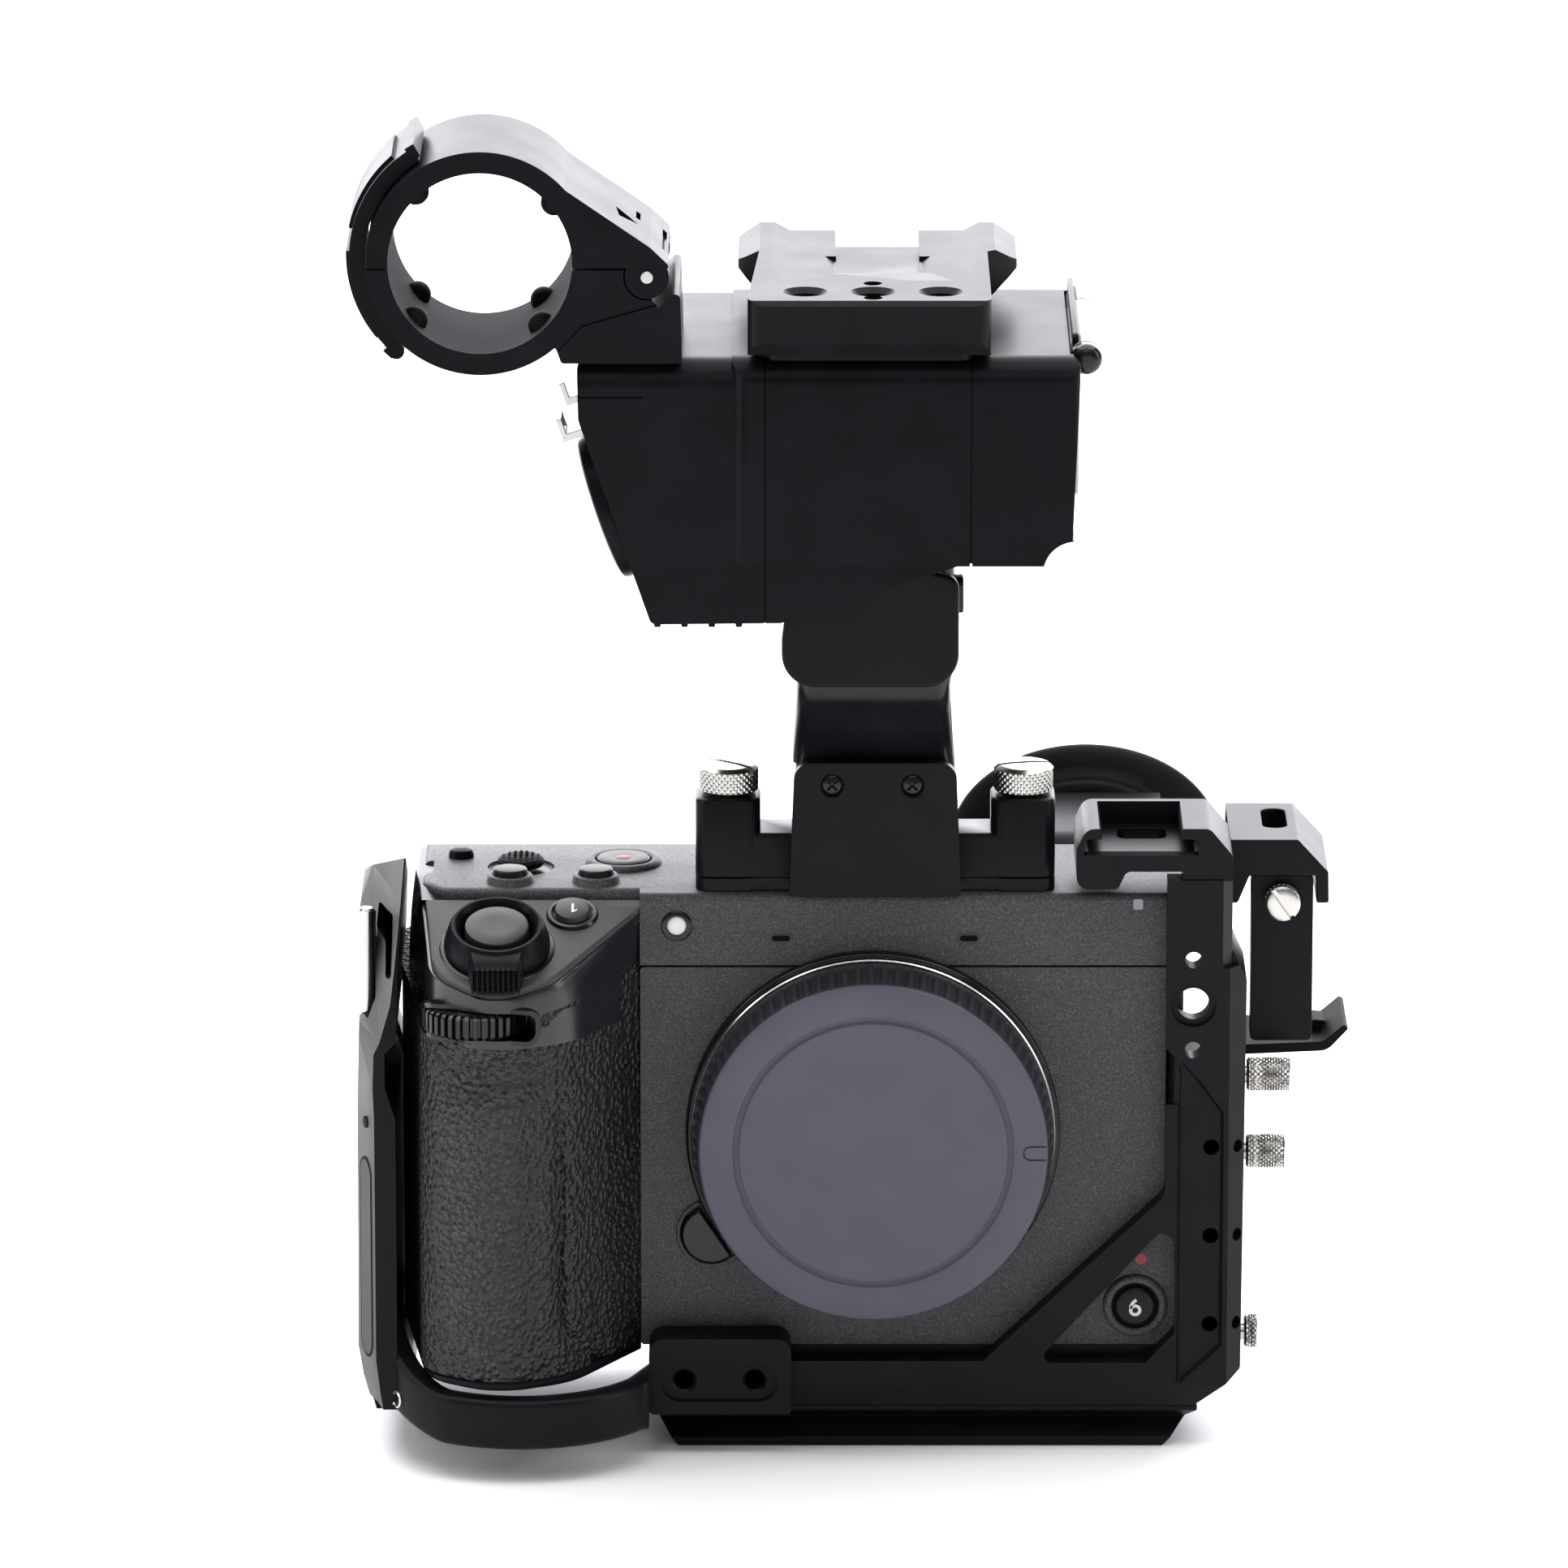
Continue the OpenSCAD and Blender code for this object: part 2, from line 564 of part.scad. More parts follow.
module thumbscrew(x) color(silver) {
    difference() {
        union() {
            rod_z(x, foot_y, foot_top + gap, foot_top + 4.2, thumb_r);
            rod_z(x, foot_y, foot_top + 4, foot_top + 5, thumb_r - 0.8);
        }
        box([x - 6, foot_y - 0.6, foot_top + 3.6], [x + 6, foot_y + 0.6, foot_top + 6]);
    }
    rod_z(x, foot_y, body_high - 3, foot_top + 1, 2.4);
}
module thumbscrew_left() thumbscrew(foot_screw_x[0]);
module thumbscrew_right() thumbscrew(foot_screw_x[1]);

module foot_cover() color(black_metal) difference() {
    along_y(-27, -24.5) polygon(outline([[-13.9, body_high + 0.4, 0.5], [14.5, body_high + 0.4, 0.5],
        [13.6, 118, 3], [-13, 118, 3]]));
    for (x = [-6.8, 6.4]) rod_y(x, 114.1, -28, -24, 2.05);
}

module handle_screws() color(black_metal) for (x = [-6.8, 6.4]) difference() {
    union() {
        rod_y(x, 114.1, -27.1, -24.5, 2);
        rod_y(x, 114.1, -24.6, -19, 1.05);
    }
    box([x - 1.2, -28, 113.9], [x + 1.2, -26.4, 114.3]);
    box([x - 0.2, -28, 112.9], [x + 0.2, -26.4, 115.3]);
}

// Underside of the audio module's lower wedge, from its left foot up to the main box
wedge_left = [-15.2, 147.2];
wedge_right = [14, module_low];

module handle_neck() color(black_metal) {
    intersection() {
        along_x(-20, 20) polygon(outline([[8, 117, 0], [-24.5, 117, 0], [-24.5, 118.3, 0], [-27, 122.5, 2],
            [-41.6, 134, 4], [-41.6, 160, 0], [-6, 160, 0], [-6, 142, 10], [6, 128, 8]]));
        along_y(-60, 20) polygon([[-12.8, 117], [13.4, 117], [12.3, 130], [13, 140],
            [13, wedge_right[1] - 0.35], wedge_left + [2.2, 0.7], [-13, 140], [-12.2, 130]]);
    }
    // Cover plate in front of the neck
    along_y(-44, -41.5) polygon(outline([[-15.1, 135.1, 5], [13.7, 135.1, 5], [13.7, 153.5, 2.5],
        [wedge_right[0] - 6, 154.8, 0], wedge_left_corner(), [-15.1, 143, 0]]));
}
function wedge_left_corner() = [wedge_left[0] + 0.6, wedge_left[1] + 0.1, 0];

// ---- audio module ----

module xlr_housing() color(black_plastic) difference() {
    union() {
        intersection() {
            along_y(-50, 5) polygon(outline([[-23.1, module_low, 1.5], [27.8, module_low, 0], [29, 158.4, 1],
                [31.9, 160, 0], [33.1, module_high, 1.2], [-23.1, module_high, 0]]));
            along_x(-30, 40)
                polygon(outline([[-50, 150, 0], [-50, module_high, 4], [5, module_high, 2], [5, 150, 0]]));
        }
        box([31.6, -40, module_high - 1], [32.6, 2, module_high + 2.2]);
    }
    box([28.4, -45, 166], [36, 1, 188]);
    rod_y(cover_axis[0], cover_axis[1], -45, 1, 2.9);
    rod_y(26.8, 177, -38, -6, 4.9);
    rod_y(26.8, 177, -42, -2, 1.6);
}

module xlr_side() color(black_plastic) difference() {
    intersection() {
        along_y(-49, 4) polygon(outline([[-48.1, 190.5, 1.5], [-47.9, 180.9, 0], [-36.2, 147, 1.2],
            [wedge_left[0], wedge_left[1], 0], [wedge_right[0], wedge_right[1], 0],
            [-23.1, module_low, 0], [-23.1, 190.5, 0]]));
        along_x(-60, 40) polygon(outline([[-49, 140, 0], [-49, 190.5, 4], [4, 190.5, 2], [4, 140, 0]]));
    }
    for (y = jack_y) on_slant(y) {
        translate([0, 0, -13]) cylinder(h = 20, r = 10.4, $fn = smooth);
        translate([12.3, -3.8, -2.6]) cube([2.6, 7.6, 8]);
    }
}

module xlr_jacks() color(black_plastic) for (y = jack_y) on_slant(y) difference() {
    union() {
        translate([0, 0, -13]) cylinder(h = 13, r = 10.4, $fn = smooth);
        cylinder(h = 2.4, r = 12, $fn = smooth);
    }
    difference() {
        translate([0, 0, -10]) cylinder(h = 20, r = 9.6, $fn = smooth);
        translate([0, 0, -13]) cylinder(h = 12, r = 7.2, $fn = smooth);
    }
}

module xlr_tabs() color(silver) for (y = jack_y) on_slant(y) translate([12.9, -3.2, -1.2]) {
    cube([1.3, 6.4, 5.4]);
    translate([0, 0, 4.4]) cube([4, 6.4, 1]);
}

module level_dials() color(black_plastic) {
    for (y = [-34, -18]) rod_y(26.8, 177, y - 3, y + 3, 4.4);
    rod_y(26.8, 177, -41, -3, 1.5);
}

module audio_cover() color("#9aa0a6") {
    rod_y(cover_axis[0], cover_axis[1], -44.6, 0.6, 2.6);
    box([31.9, -44.6, 167], [33, 0.6, 188.6]);
}

module top_plate() color(black_metal) difference() {
    union() {
        along_z(module_high, 194.2) polygon(box2(-17.6, -50, 15.6, 3, 1.5));
        intersection() {
            along_z(194.2, 202)
                polygon(outline([[-20.7, -54, 2], [18.6, -54, 2], [18.2, 6, 0], [-17.4, 6, 0]]));
            along_x(-30, 30) polygon([[-53.2, 194.2], [-54, 195], [-54, 199.8], [-53.6, 201.6],
                [6, 201.6], [6, 194.2]]);
        }
        for (side = [[-22.2, -17.4], [18, 23.4]]) box([side[0], -14, 196.4], [side[1], 6, 201.6]);
    }
    translate([0.6, 0, 0]) cold_shoe_slot(197.4, 201.6, -22, 8);
    translate([0.6, 0, 0]) along_x(-9.4, 9.4) polygon([[-22, 197.4], [-25, 202], [-18, 202], [-18, 197.4]]);
    for (x = [-11.3, -0.4, 10.5]) {
        rod_z(x, -46.5, 193, 203, quarter_r);
        rod_z(x, -46.5, 200.9, 203, quarter_r + 0.9);
    }
    for (y = [-51, -40.5]) rod_z(-0.4, y, 196, 203, 1.5);
}

// ---- microphone clamp ----

module clamp_section(block, half) difference() {
    union() {
        translate(ring_at) circle(r = ring_out, $fn = smooth);
        polygon(block);
    }
    translate(ring_at) circle(r = ring_in, $fn = smooth);
    translate(half) square([80, 40]);
}

module mic_base() color(black_plastic) difference() {
    union() {
        along_y(ring_front, ring_front + ring_len) clamp_section([[-51.2, split_z], [-38, split_z],
            [-36.7, 201.4], [-32, 199], [-31.1, 190.5], [-56, 190.5], [-60, 191.5]], [-90, split_z - 0.2]);
        for (y = [[ring_front, -42.2], [-27.8, ring_front + ring_len]])
            rod_y(pin_at[0], pin_at[1], y[0], y[1], 3.2);
    }
    rod_y(pin_at[0], pin_at[1], -42.2, -27.8, 3.6);
    rod_y(pin_at[0], pin_at[1], -60, 0, 1.02);
}

module mic_upper() color(black_plastic) difference() {
    union() {
        along_y(ring_front, ring_front + ring_len) clamp_section([[-31.9, 208.8], [-33.6, 212.4],
            [-52.6, 221.8], [-52.6, split_z], [-40, split_z], [-36.7, 208.4]], [-90, split_z + 0.2 - 40]);
        rod_y(pin_at[0], pin_at[1], -42, -28, 3.2);
        box([pin_at[0] - 2.6, -42, pin_at[1]], [pin_at[0] + 2.6, -28, pin_at[1] + 5]);
    }
    for (y = [[ring_front - 1, -42], [-28, ring_front + ring_len + 1]])
        rod_y(pin_at[0], pin_at[1], y[0], y[1], 3.6);
    rod_y(pin_at[0], pin_at[1], -60, 0, 1.08);
}

module mic_pin() color(silver) rod_y(pin_at[0], pin_at[1], ring_front - 0.3, ring_front + ring_len + 0.3, 1);

module mic_latch() color(black_plastic) {
    along_y(-46, -24) polygon(concat(
        arc(ring_at, ring_out + 2.6, 120, 228, 30),
        arc(ring_at, ring_out + 0.6, 229, 120, 30)
    ));
    rod_y(latch_at[0], latch_at[1], -46, -24, 1.3);
}

// ---- hand grip ----

module grip_bar() color(black_plastic) intersection() {
    along_x(-15, 15) polygon(outline([[5, 158, 0], [5, 186, 0], [20, 184, 20], [bar_end, 178, 8],
        [bar_end, 156, 7], [74, 152, 8], [20, 158, 14]], 8));
    along_y(5, bar_end) polygon(box2(-15, 150, 15, 190, 6));
}

dovetail_plate();
cage_base();
cage_side();
cage_strut();
cage_shoe();
guard_band();
guard_upright();
strap_pin();
clamp_arm();
clamp_bar();
clamp_screw();
side_knob_upper();
side_knob_lower();
cage_lock_screw();
front_cover();
top_cover();
rear_cover();
grip_core();
grip_skin();
grip_top();
lens_mount();
body_cap();
sensor_assembly();
battery();
battery_door();
lens_release();
front_rec_button();
zoom_lever();
shutter_button();
custom_button();
front_dial();
iso_button();
wb_button();
rec_button();
joystick();
power_switch();
evf_body();
evf_eyecup();
lcd_panel();
port_door();
tally_lamp();
rear_wheel();
handle_foot();
thumbscrew_left();
thumbscrew_right();
foot_cover();
handle_screws();
handle_neck();
xlr_housing();
xlr_side();
xlr_jacks();
xlr_tabs();
level_dials();
audio_cover();
top_plate();
mic_base();
mic_upper();
mic_pin();
mic_latch();
grip_bar();
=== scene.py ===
"""Looks of the cinema camera rig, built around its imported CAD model. Numbers are millimetres unless said."""
import json
import math

import bmesh
import bpy
from mathutils import Matrix, Vector

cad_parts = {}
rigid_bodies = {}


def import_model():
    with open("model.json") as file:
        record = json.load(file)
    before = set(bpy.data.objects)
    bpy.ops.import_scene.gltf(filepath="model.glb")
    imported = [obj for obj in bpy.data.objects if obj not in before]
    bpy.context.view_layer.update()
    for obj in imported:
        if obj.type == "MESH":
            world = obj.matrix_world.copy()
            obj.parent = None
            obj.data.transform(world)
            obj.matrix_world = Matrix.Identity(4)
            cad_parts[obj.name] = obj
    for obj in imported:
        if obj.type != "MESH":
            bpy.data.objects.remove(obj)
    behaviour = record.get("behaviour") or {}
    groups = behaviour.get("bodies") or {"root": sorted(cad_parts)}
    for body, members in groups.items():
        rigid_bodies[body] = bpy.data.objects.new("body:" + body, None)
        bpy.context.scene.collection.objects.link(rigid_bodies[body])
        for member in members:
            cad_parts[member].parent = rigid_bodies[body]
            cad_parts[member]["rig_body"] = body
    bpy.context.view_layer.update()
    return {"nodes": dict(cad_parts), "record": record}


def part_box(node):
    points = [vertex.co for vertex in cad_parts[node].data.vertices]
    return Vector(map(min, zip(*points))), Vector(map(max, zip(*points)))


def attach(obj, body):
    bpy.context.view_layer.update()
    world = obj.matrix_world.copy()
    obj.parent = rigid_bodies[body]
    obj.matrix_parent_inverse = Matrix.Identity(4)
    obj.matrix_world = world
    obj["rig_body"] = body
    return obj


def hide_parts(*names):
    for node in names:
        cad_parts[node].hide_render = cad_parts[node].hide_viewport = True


MM = 0.001
UP = (0, 0, 1)
BACK = (0, 1, 0)
AHEAD = (0, -1, 0)
ASIDE = (1, 0, 0)
ORIGIN = (0, 0, 0)
# Y of the front cover's face, height of the front dial, and rise of the sloping panel towards the rear
FACE = -24
DIAL_Z = 78.2
PANEL_RISE = 0.4
# X and Z of the clamp ring's centre, of the clamp's hinge and of the clear cover's hinge
RING = (-63.5, 206.9)
CLAMP_HINGE = (-36.7, 204.7)
COVER_HINGE = (34.1, 189.7)
# Left, bottom, right, top and corner radius of the front dial's slot
SLOT_BOX = (-73.7, 75.9, -55.3, 80.5, 1.5)
# X of the microphone slots, of the thumbscrew holes and of the foot cover's screws; Y of the XLR sockets
MIC_SLOTS = (-15.2, 15.8)
FOOT_HOLES = (-23.8, 24.8)
COVER_SCREWS = (-6.8, 6.4)
SOCKETS = (-36, -10)

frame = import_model()


# ---- reading the frame ----

def span(node):
    """Lowest and highest corner of a CAD node, in millimetres."""
    lo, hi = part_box(node)
    return Vector(lo) / MM, Vector(hi) / MM


def middle(node):
    lo, hi = span(node)
    return (lo + hi) / 2


def body_of(node):
    return frame["nodes"][node]["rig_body"]


# ---- outlines, in millimetres ----

def fillet(a, p, b, r, n):
    """Points of the arc of radius r that rounds the corner p between a and b."""
    if r <= 0:
        return [tuple(p)]
    a, p, b = Vector(a), Vector(p), Vector(b)
    u = (a - p).normalized()
    v = (b - p).normalized()
    half = math.acos(max(-1.0, min(1.0, u.dot(v)))) / 2
    centre = p + (u + v).normalized() * (r / math.sin(half))
    s = p + u * (r / math.tan(half)) - centre
    e = p + v * (r / math.tan(half)) - centre
    start = math.atan2(s.y, s.x)
    sweep = math.atan2(e.y, e.x) - start
    if sweep > math.pi:
        sweep -= 2 * math.pi
    if sweep < -math.pi:
        sweep += 2 * math.pi
    steps = [start + sweep * i / n for i in range(n + 1)]
    return [(centre.x + r * math.cos(t), centre.y + r * math.sin(t)) for t in steps]


def outline(corners, n=5):
    """Closed outline from corners given as (x, y, radius)."""
    k = len(corners)
    points = []
    for i, (x, y, r) in enumerate(corners):
        a = corners[i - 1][:2]
        b = corners[(i + 1) % k][:2]
        points += fillet(a, (x, y), b, r, n)
    return points


def rounded_box(x0, y0, x1, y1, r, n=6):
    return outline([(x0, y0, r), (x1, y0, r), (x1, y1, r), (x0, y1, r)], n)


def circle(r, n=96, centre=(0, 0)):
    steps = [2 * math.pi * i / n for i in range(n)]
    return [(centre[0] + r * math.cos(t), centre[1] + r * math.sin(t)) for t in steps]


def arc(r, start, end, n=32, centre=(0, 0)):
    """Points of an arc, with its angles in degrees."""
    steps = [math.radians(start + (end - start) * i / n) for i in range(n + 1)]
    return [(centre[0] + r * math.cos(t), centre[1] + r * math.sin(t)) for t in steps]


def level(points, z):
    """The outline, laid flat at a height."""
    return [(x, y, z) for x, y in points]


# ---- meshes ----

def mesh_object(name, verts, faces):
    mesh = bpy.data.meshes.new(name)
    mesh.from_pydata([tuple(Vector(v) * MM) for v in verts], [], faces)
    bm = bmesh.new()
    bm.from_mesh(mesh)
    bmesh.ops.remove_doubles(bm, verts=bm.verts, dist=1e-7)
    bmesh.ops.recalc_face_normals(bm, faces=bm.faces)
    bm.to_mesh(mesh)
    bm.free()
    obj = bpy.data.objects.new(name, mesh)
    bpy.context.scene.collection.objects.link(obj)
    return obj


def loft(name, rings, closed=False):
    """Skin over rings of equally many points; the ends are capped unless the rings close on themselves."""
    k = len(rings[0])
    verts = [p for ring in rings for p in ring]
    faces = []
    last = len(rings) if closed else len(rings) - 1
    for i in range(last):
        a = i * k
        b = ((i + 1) % len(rings)) * k
        faces += [(a + j, a + (j + 1) % k, b + (j + 1) % k, b + j) for j in range(k)]
    if not closed:
        faces.append(tuple(range(k)))
        faces.append(tuple(range(len(verts) - k, len(verts))))
    return mesh_object(name, verts, faces)


def along_y(name, points, y0, y1):
    """Outline in X and Z, run along Y."""
    return loft(name, [[(x, y0, z) for x, z in points], [(x, y1, z) for x, z in points]])


def along_x(name, points, x0, x1):
    """Outline in Y and Z, run along X."""
    return loft(name, [[(x0, y, z) for y, z in points], [(x1, y, z) for y, z in points]])


def along_z(name, points, z0, z1):
    return loft(name, [[(x, y, z0) for x, y in points], [(x, y, z1) for x, y in points]])


def lathe(name, profile, centre, axis, segments=96, radius_at=None):
    """Profile of (radius, height) turned about axis through centre. radius_at may vary it with the angle."""
    turn = Vector(UP).rotation_difference(Vector(axis)).to_matrix()
    rings = []
    for r, h in profile:
        ring = []
        for i in range(segments):
            t = 2 * math.pi * i / segments
            radius = radius_at(r, h, i) if radius_at else r
            ring.append(Vector(centre) + turn @ Vector((radius * math.cos(t), radius * math.sin(t), h)))
        rings.append(ring)
    closed = (Vector(profile[0]) - Vector(profile[-1])).length < 1e-9
    if closed:
        rings.pop()
    return loft(name, rings, closed)


def rod(name, place, axis, r, length, segments=48):
    return lathe(name, [(0, 0), (r, 0), (r, length), (0, length)], place, axis, segments)


def turned(name, profile, centre=ORIGIN, axis=UP, segments=96, angle=35):
    """Lathed piece with smooth shading."""
    return smoothed(lathe(name, profile, centre, axis, segments), angle)


def placed(obj, matrix):
    """Moves the mesh itself, so that the object's own origin stays at the frame's."""
    move = matrix.copy()
    move.translation = matrix.translation * MM
    obj.data.transform(move)
    return obj


def joined(name, parts):
    """One object from several."""
    bm = bmesh.new()
    for part in parts:
        bm.from_mesh(part.data)
        bpy.data.objects.remove(part)
    mesh = bpy.data.meshes.new(name)
    bm.to_mesh(mesh)
    bm.free()
    obj = bpy.data.objects.new(name, mesh)
    bpy.context.scene.collection.objects.link(obj)
    return obj


def baked(obj):
    """Applies the object's modifiers."""
    bpy.context.view_layer.update()
    dg = bpy.context.evaluated_depsgraph_get()
    mesh = bpy.data.meshes.new_from_object(obj.evaluated_get(dg))
    obj.modifiers.clear()
    obj.data = mesh
    return obj


def combined(obj, others, operation):
    """Boolean of obj with each of the others, which are used up."""
    for other in others:
        m = obj.modifiers.new(operation.lower(), "BOOLEAN")
        m.operation = operation
        m.solver = "EXACT"
        m.object = other
    baked(obj)
    for other in others:
        bpy.data.objects.remove(other)
    return obj


def cut(obj, *cutters):
    return combined(obj, cutters, "DIFFERENCE")


def fused(obj, *others):
    return combined(obj, others, "UNION")


def common(obj, *others):
    return combined(obj, others, "INTERSECT")


def plain_bevel(obj, width, segments, angle):
    """Rounds the edges that turn by more than the angle."""
    m = obj.modifiers.new("edge", "BEVEL")
    m.width = width * MM
    m.segments = segments
    m.limit_method = "ANGLE"
    m.angle_limit = math.radians(angle)
    return m


def bevelled(obj, width, segments=2, angle=32):
    """Merges flat facets, then rounds the edges that turn by more than the angle."""
    if "custom_normal" in obj.data.attributes:
        obj.data.attributes.remove(obj.data.attributes["custom_normal"])
    weld = obj.modifiers.new("weld", "WELD")
    weld.merge_threshold = 2e-6
    flat = obj.modifiers.new("flat", "DECIMATE")
    flat.decimate_type = "DISSOLVE"
    flat.angle_limit = math.radians(0.6)
    m = plain_bevel(obj, width, segments, angle)
    m.miter_outer = "MITER_ARC"
    m.use_clamp_overlap = True
    m.harden_normals = True
    obj.data.shade_smooth()
    return obj


def smoothed(obj, angle=35):
    obj.data.shade_smooth()
    obj.data.set_sharp_from_angle(angle=math.radians(angle))
    return obj


def show(obj, node, slot, finish=None, second=None, replaces=()):
    """Lets obj ride with the node's body, in a finish named in MATERIALS, and stand for the named nodes."""
    marked = [face.index for face in obj.data.polygons if face.material_index == 1] if second else []
    obj.data.materials.clear()
    obj.data.materials.append(MATERIALS[finish or slot])
    if second:
        obj.data.materials.append(MATERIALS[second])
    for index in marked:
        obj.data.polygons[index].material_index = 1
    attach(obj, body_of(node))
    if replaces:
        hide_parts(*replaces)


def stand_in(obj, node, slot, finish=None, second=None):
    """Shows obj in place of its own CAD node."""
    show(obj, node, slot, finish, second, [node])


# ---- materials ----

def shader(name, colour, roughness, metallic=0.0, specular=0.5, coat=0.0):
    """A new material and its tools: (material, nodes, links, principled shader, coordinates in the frame)."""
    material = bpy.data.materials.new(name)
    material.use_nodes = True
    nodes = material.node_tree.nodes
    links = material.node_tree.links
    principled = nodes["Principled BSDF"]
    principled.inputs["Base Color"].default_value = (*colour, 1)
    principled.inputs["Roughness"].default_value = roughness
    principled.inputs["Metallic"].default_value = metallic
    principled.inputs["Specular IOR Level"].default_value = specular
    principled.inputs["Coat Weight"].default_value = coat
    coordinates = nodes.new("ShaderNodeTexCoord").outputs["Object"]
    return material, nodes, links, principled, coordinates


def noise(nodes, links, coordinates, size, detail=2.0, roughness=0.5):
    """Noise whose features are about size millimetres across."""
    node = nodes.new("ShaderNodeTexNoise")
    node.inputs["Scale"].default_value = 1 / (size * MM)
    node.inputs["Detail"].default_value = detail
    node.inputs["Roughness"].default_value = roughness
    links.new(coordinates, node.inputs["Vector"])
    return node.outputs["Fac"]


def ranged(nodes, links, value, low, high, from_low=0.3, from_high=0.7):
    """The value, which runs between the from numbers, spread from low to high."""
    node = nodes.new("ShaderNodeMapRange")
    node.inputs["From Min"].default_value = from_low
    node.inputs["From Max"].default_value = from_high
    node.inputs["To Min"].default_value = low
    node.inputs["To Max"].default_value = high
    links.new(value, node.inputs["Value"])
    return node.outputs["Result"]


def mixed(nodes, links, factor, a, b):
    """Colour between a and b."""
    node = nodes.new("ShaderNodeMix")
    node.data_type = "RGBA"
    node.inputs["A"].default_value = (*a, 1)
    node.inputs["B"].default_value = (*b, 1)
    links.new(factor, node.inputs["Factor"])
    return node.outputs["Result"]


def bumped(nodes, links, height, depth, strength, principled, under=None):
    """Bump of depth millimetres, laid over another bump if one is given."""
    node = nodes.new("ShaderNodeBump")
    node.inputs["Strength"].default_value = strength
    node.inputs["Distance"].default_value = depth * MM
    links.new(height, node.inputs["Height"])
    if under:
        links.new(under, node.inputs["Normal"])
    links.new(node.outputs["Normal"], principled.inputs["Normal"])
    return node.outputs["Normal"]


def grained(name, colour, light, roughness, grain, depth, metallic=0.0, specular=0.5, coat=0.0,
            spread=0.02):
    """Plastic or coated metal: a fine moulded grain, cloudy gloss and a slight change of colour."""
    material, nodes, links, principled, at = shader(name, colour, roughness, metallic, specular, coat)
    cloud = noise(nodes, links, at, 9, 3)
    links.new(mixed(nodes, links, ranged(nodes, links, cloud, 0, 1), colour, light),
              principled.inputs["Base Color"])
    gloss = ranged(nodes, links, cloud, roughness - spread, roughness + spread)
    links.new(gloss, principled.inputs["Roughness"])
    bumped(nodes, links, noise(nodes, links, at, grain, 1), depth, 0.6, principled)
    return material


def speckled_paint():
    """Dark grey paint with fine bright metal flakes."""
    base = (0.038, 0.038, 0.041)
    material, nodes, links, principled, at = shader("body_paint", base, 0.5, specular=0.25)
    cells = nodes.new("ShaderNodeTexVoronoi")
    cells.inputs["Scale"].default_value = 1 / (0.15 * MM)
    links.new(at, cells.inputs["Vector"])
    tone = nodes.new("ShaderNodeSeparateColor")
    links.new(cells.outputs["Color"], tone.inputs["Color"])
    flake = ranged(nodes, links, tone.outputs["Red"], 0, 1, 0.5, 1.0)
    colour = mixed(nodes, links, flake, base, (0.105, 0.105, 0.11))
    links.new(colour, principled.inputs["Base Color"])
    links.new(ranged(nodes, links, tone.outputs["Green"], 0.42, 0.6, 0, 1), principled.inputs["Roughness"])
    bumped(nodes, links, noise(nodes, links, at, 0.3, 2), 0.03, 0.5, principled)
    return material


def pebbled_leather():
    """Synthetic leather with rounded pebbles of about a millimetre, creases between them and shiny tops."""
    material, nodes, links, principled, at = shader("leather", (0.006, 0.0065, 0.008), 0.33, specular=0.55)
    warp = nodes.new("ShaderNodeMix")
    warp.data_type = "VECTOR"
    warp.inputs["Factor"].default_value = 0.0007
    drift = nodes.new("ShaderNodeTexNoise")
    drift.inputs["Scale"].default_value = 1 / (2.2 * MM)
    links.new(at, drift.inputs["Vector"])
    links.new(at, warp.inputs["A"])
    links.new(drift.outputs["Color"], warp.inputs["B"])
    cells = nodes.new("ShaderNodeTexVoronoi")
    cells.feature = "SMOOTH_F1"
    cells.inputs["Smoothness"].default_value = 0.25
    cells.inputs["Scale"].default_value = 1 / (1.15 * MM)
    links.new(warp.outputs["Result"], cells.inputs["Vector"])
    pebble = ranged(nodes, links, cells.outputs["Distance"], 1, 0, 0.05, 0.75)
    under = bumped(nodes, links, noise(nodes, links, at, 3.2, 3), 0.9, 0.6, principled)
    bumped(nodes, links, pebble, 0.8, 1.0, principled, under)
    # Base colour lighter and bluish on the pebble tops, near-black in the creases: a painted highlight on the
    # tops and painted shade in the creases
    colour = mixed(nodes, links, pebble, (0.0015, 0.0015, 0.002), (0.009, 0.0095, 0.0115))
    links.new(colour, principled.inputs["Base Color"])
    links.new(ranged(nodes, links, pebble, 0.6, 0.28, 0, 1), principled.inputs["Roughness"])
    return material


# Base colours of the black parts
BLACK = ((0.0035, 0.0042, 0.0052), (0.0055, 0.0064, 0.0078))
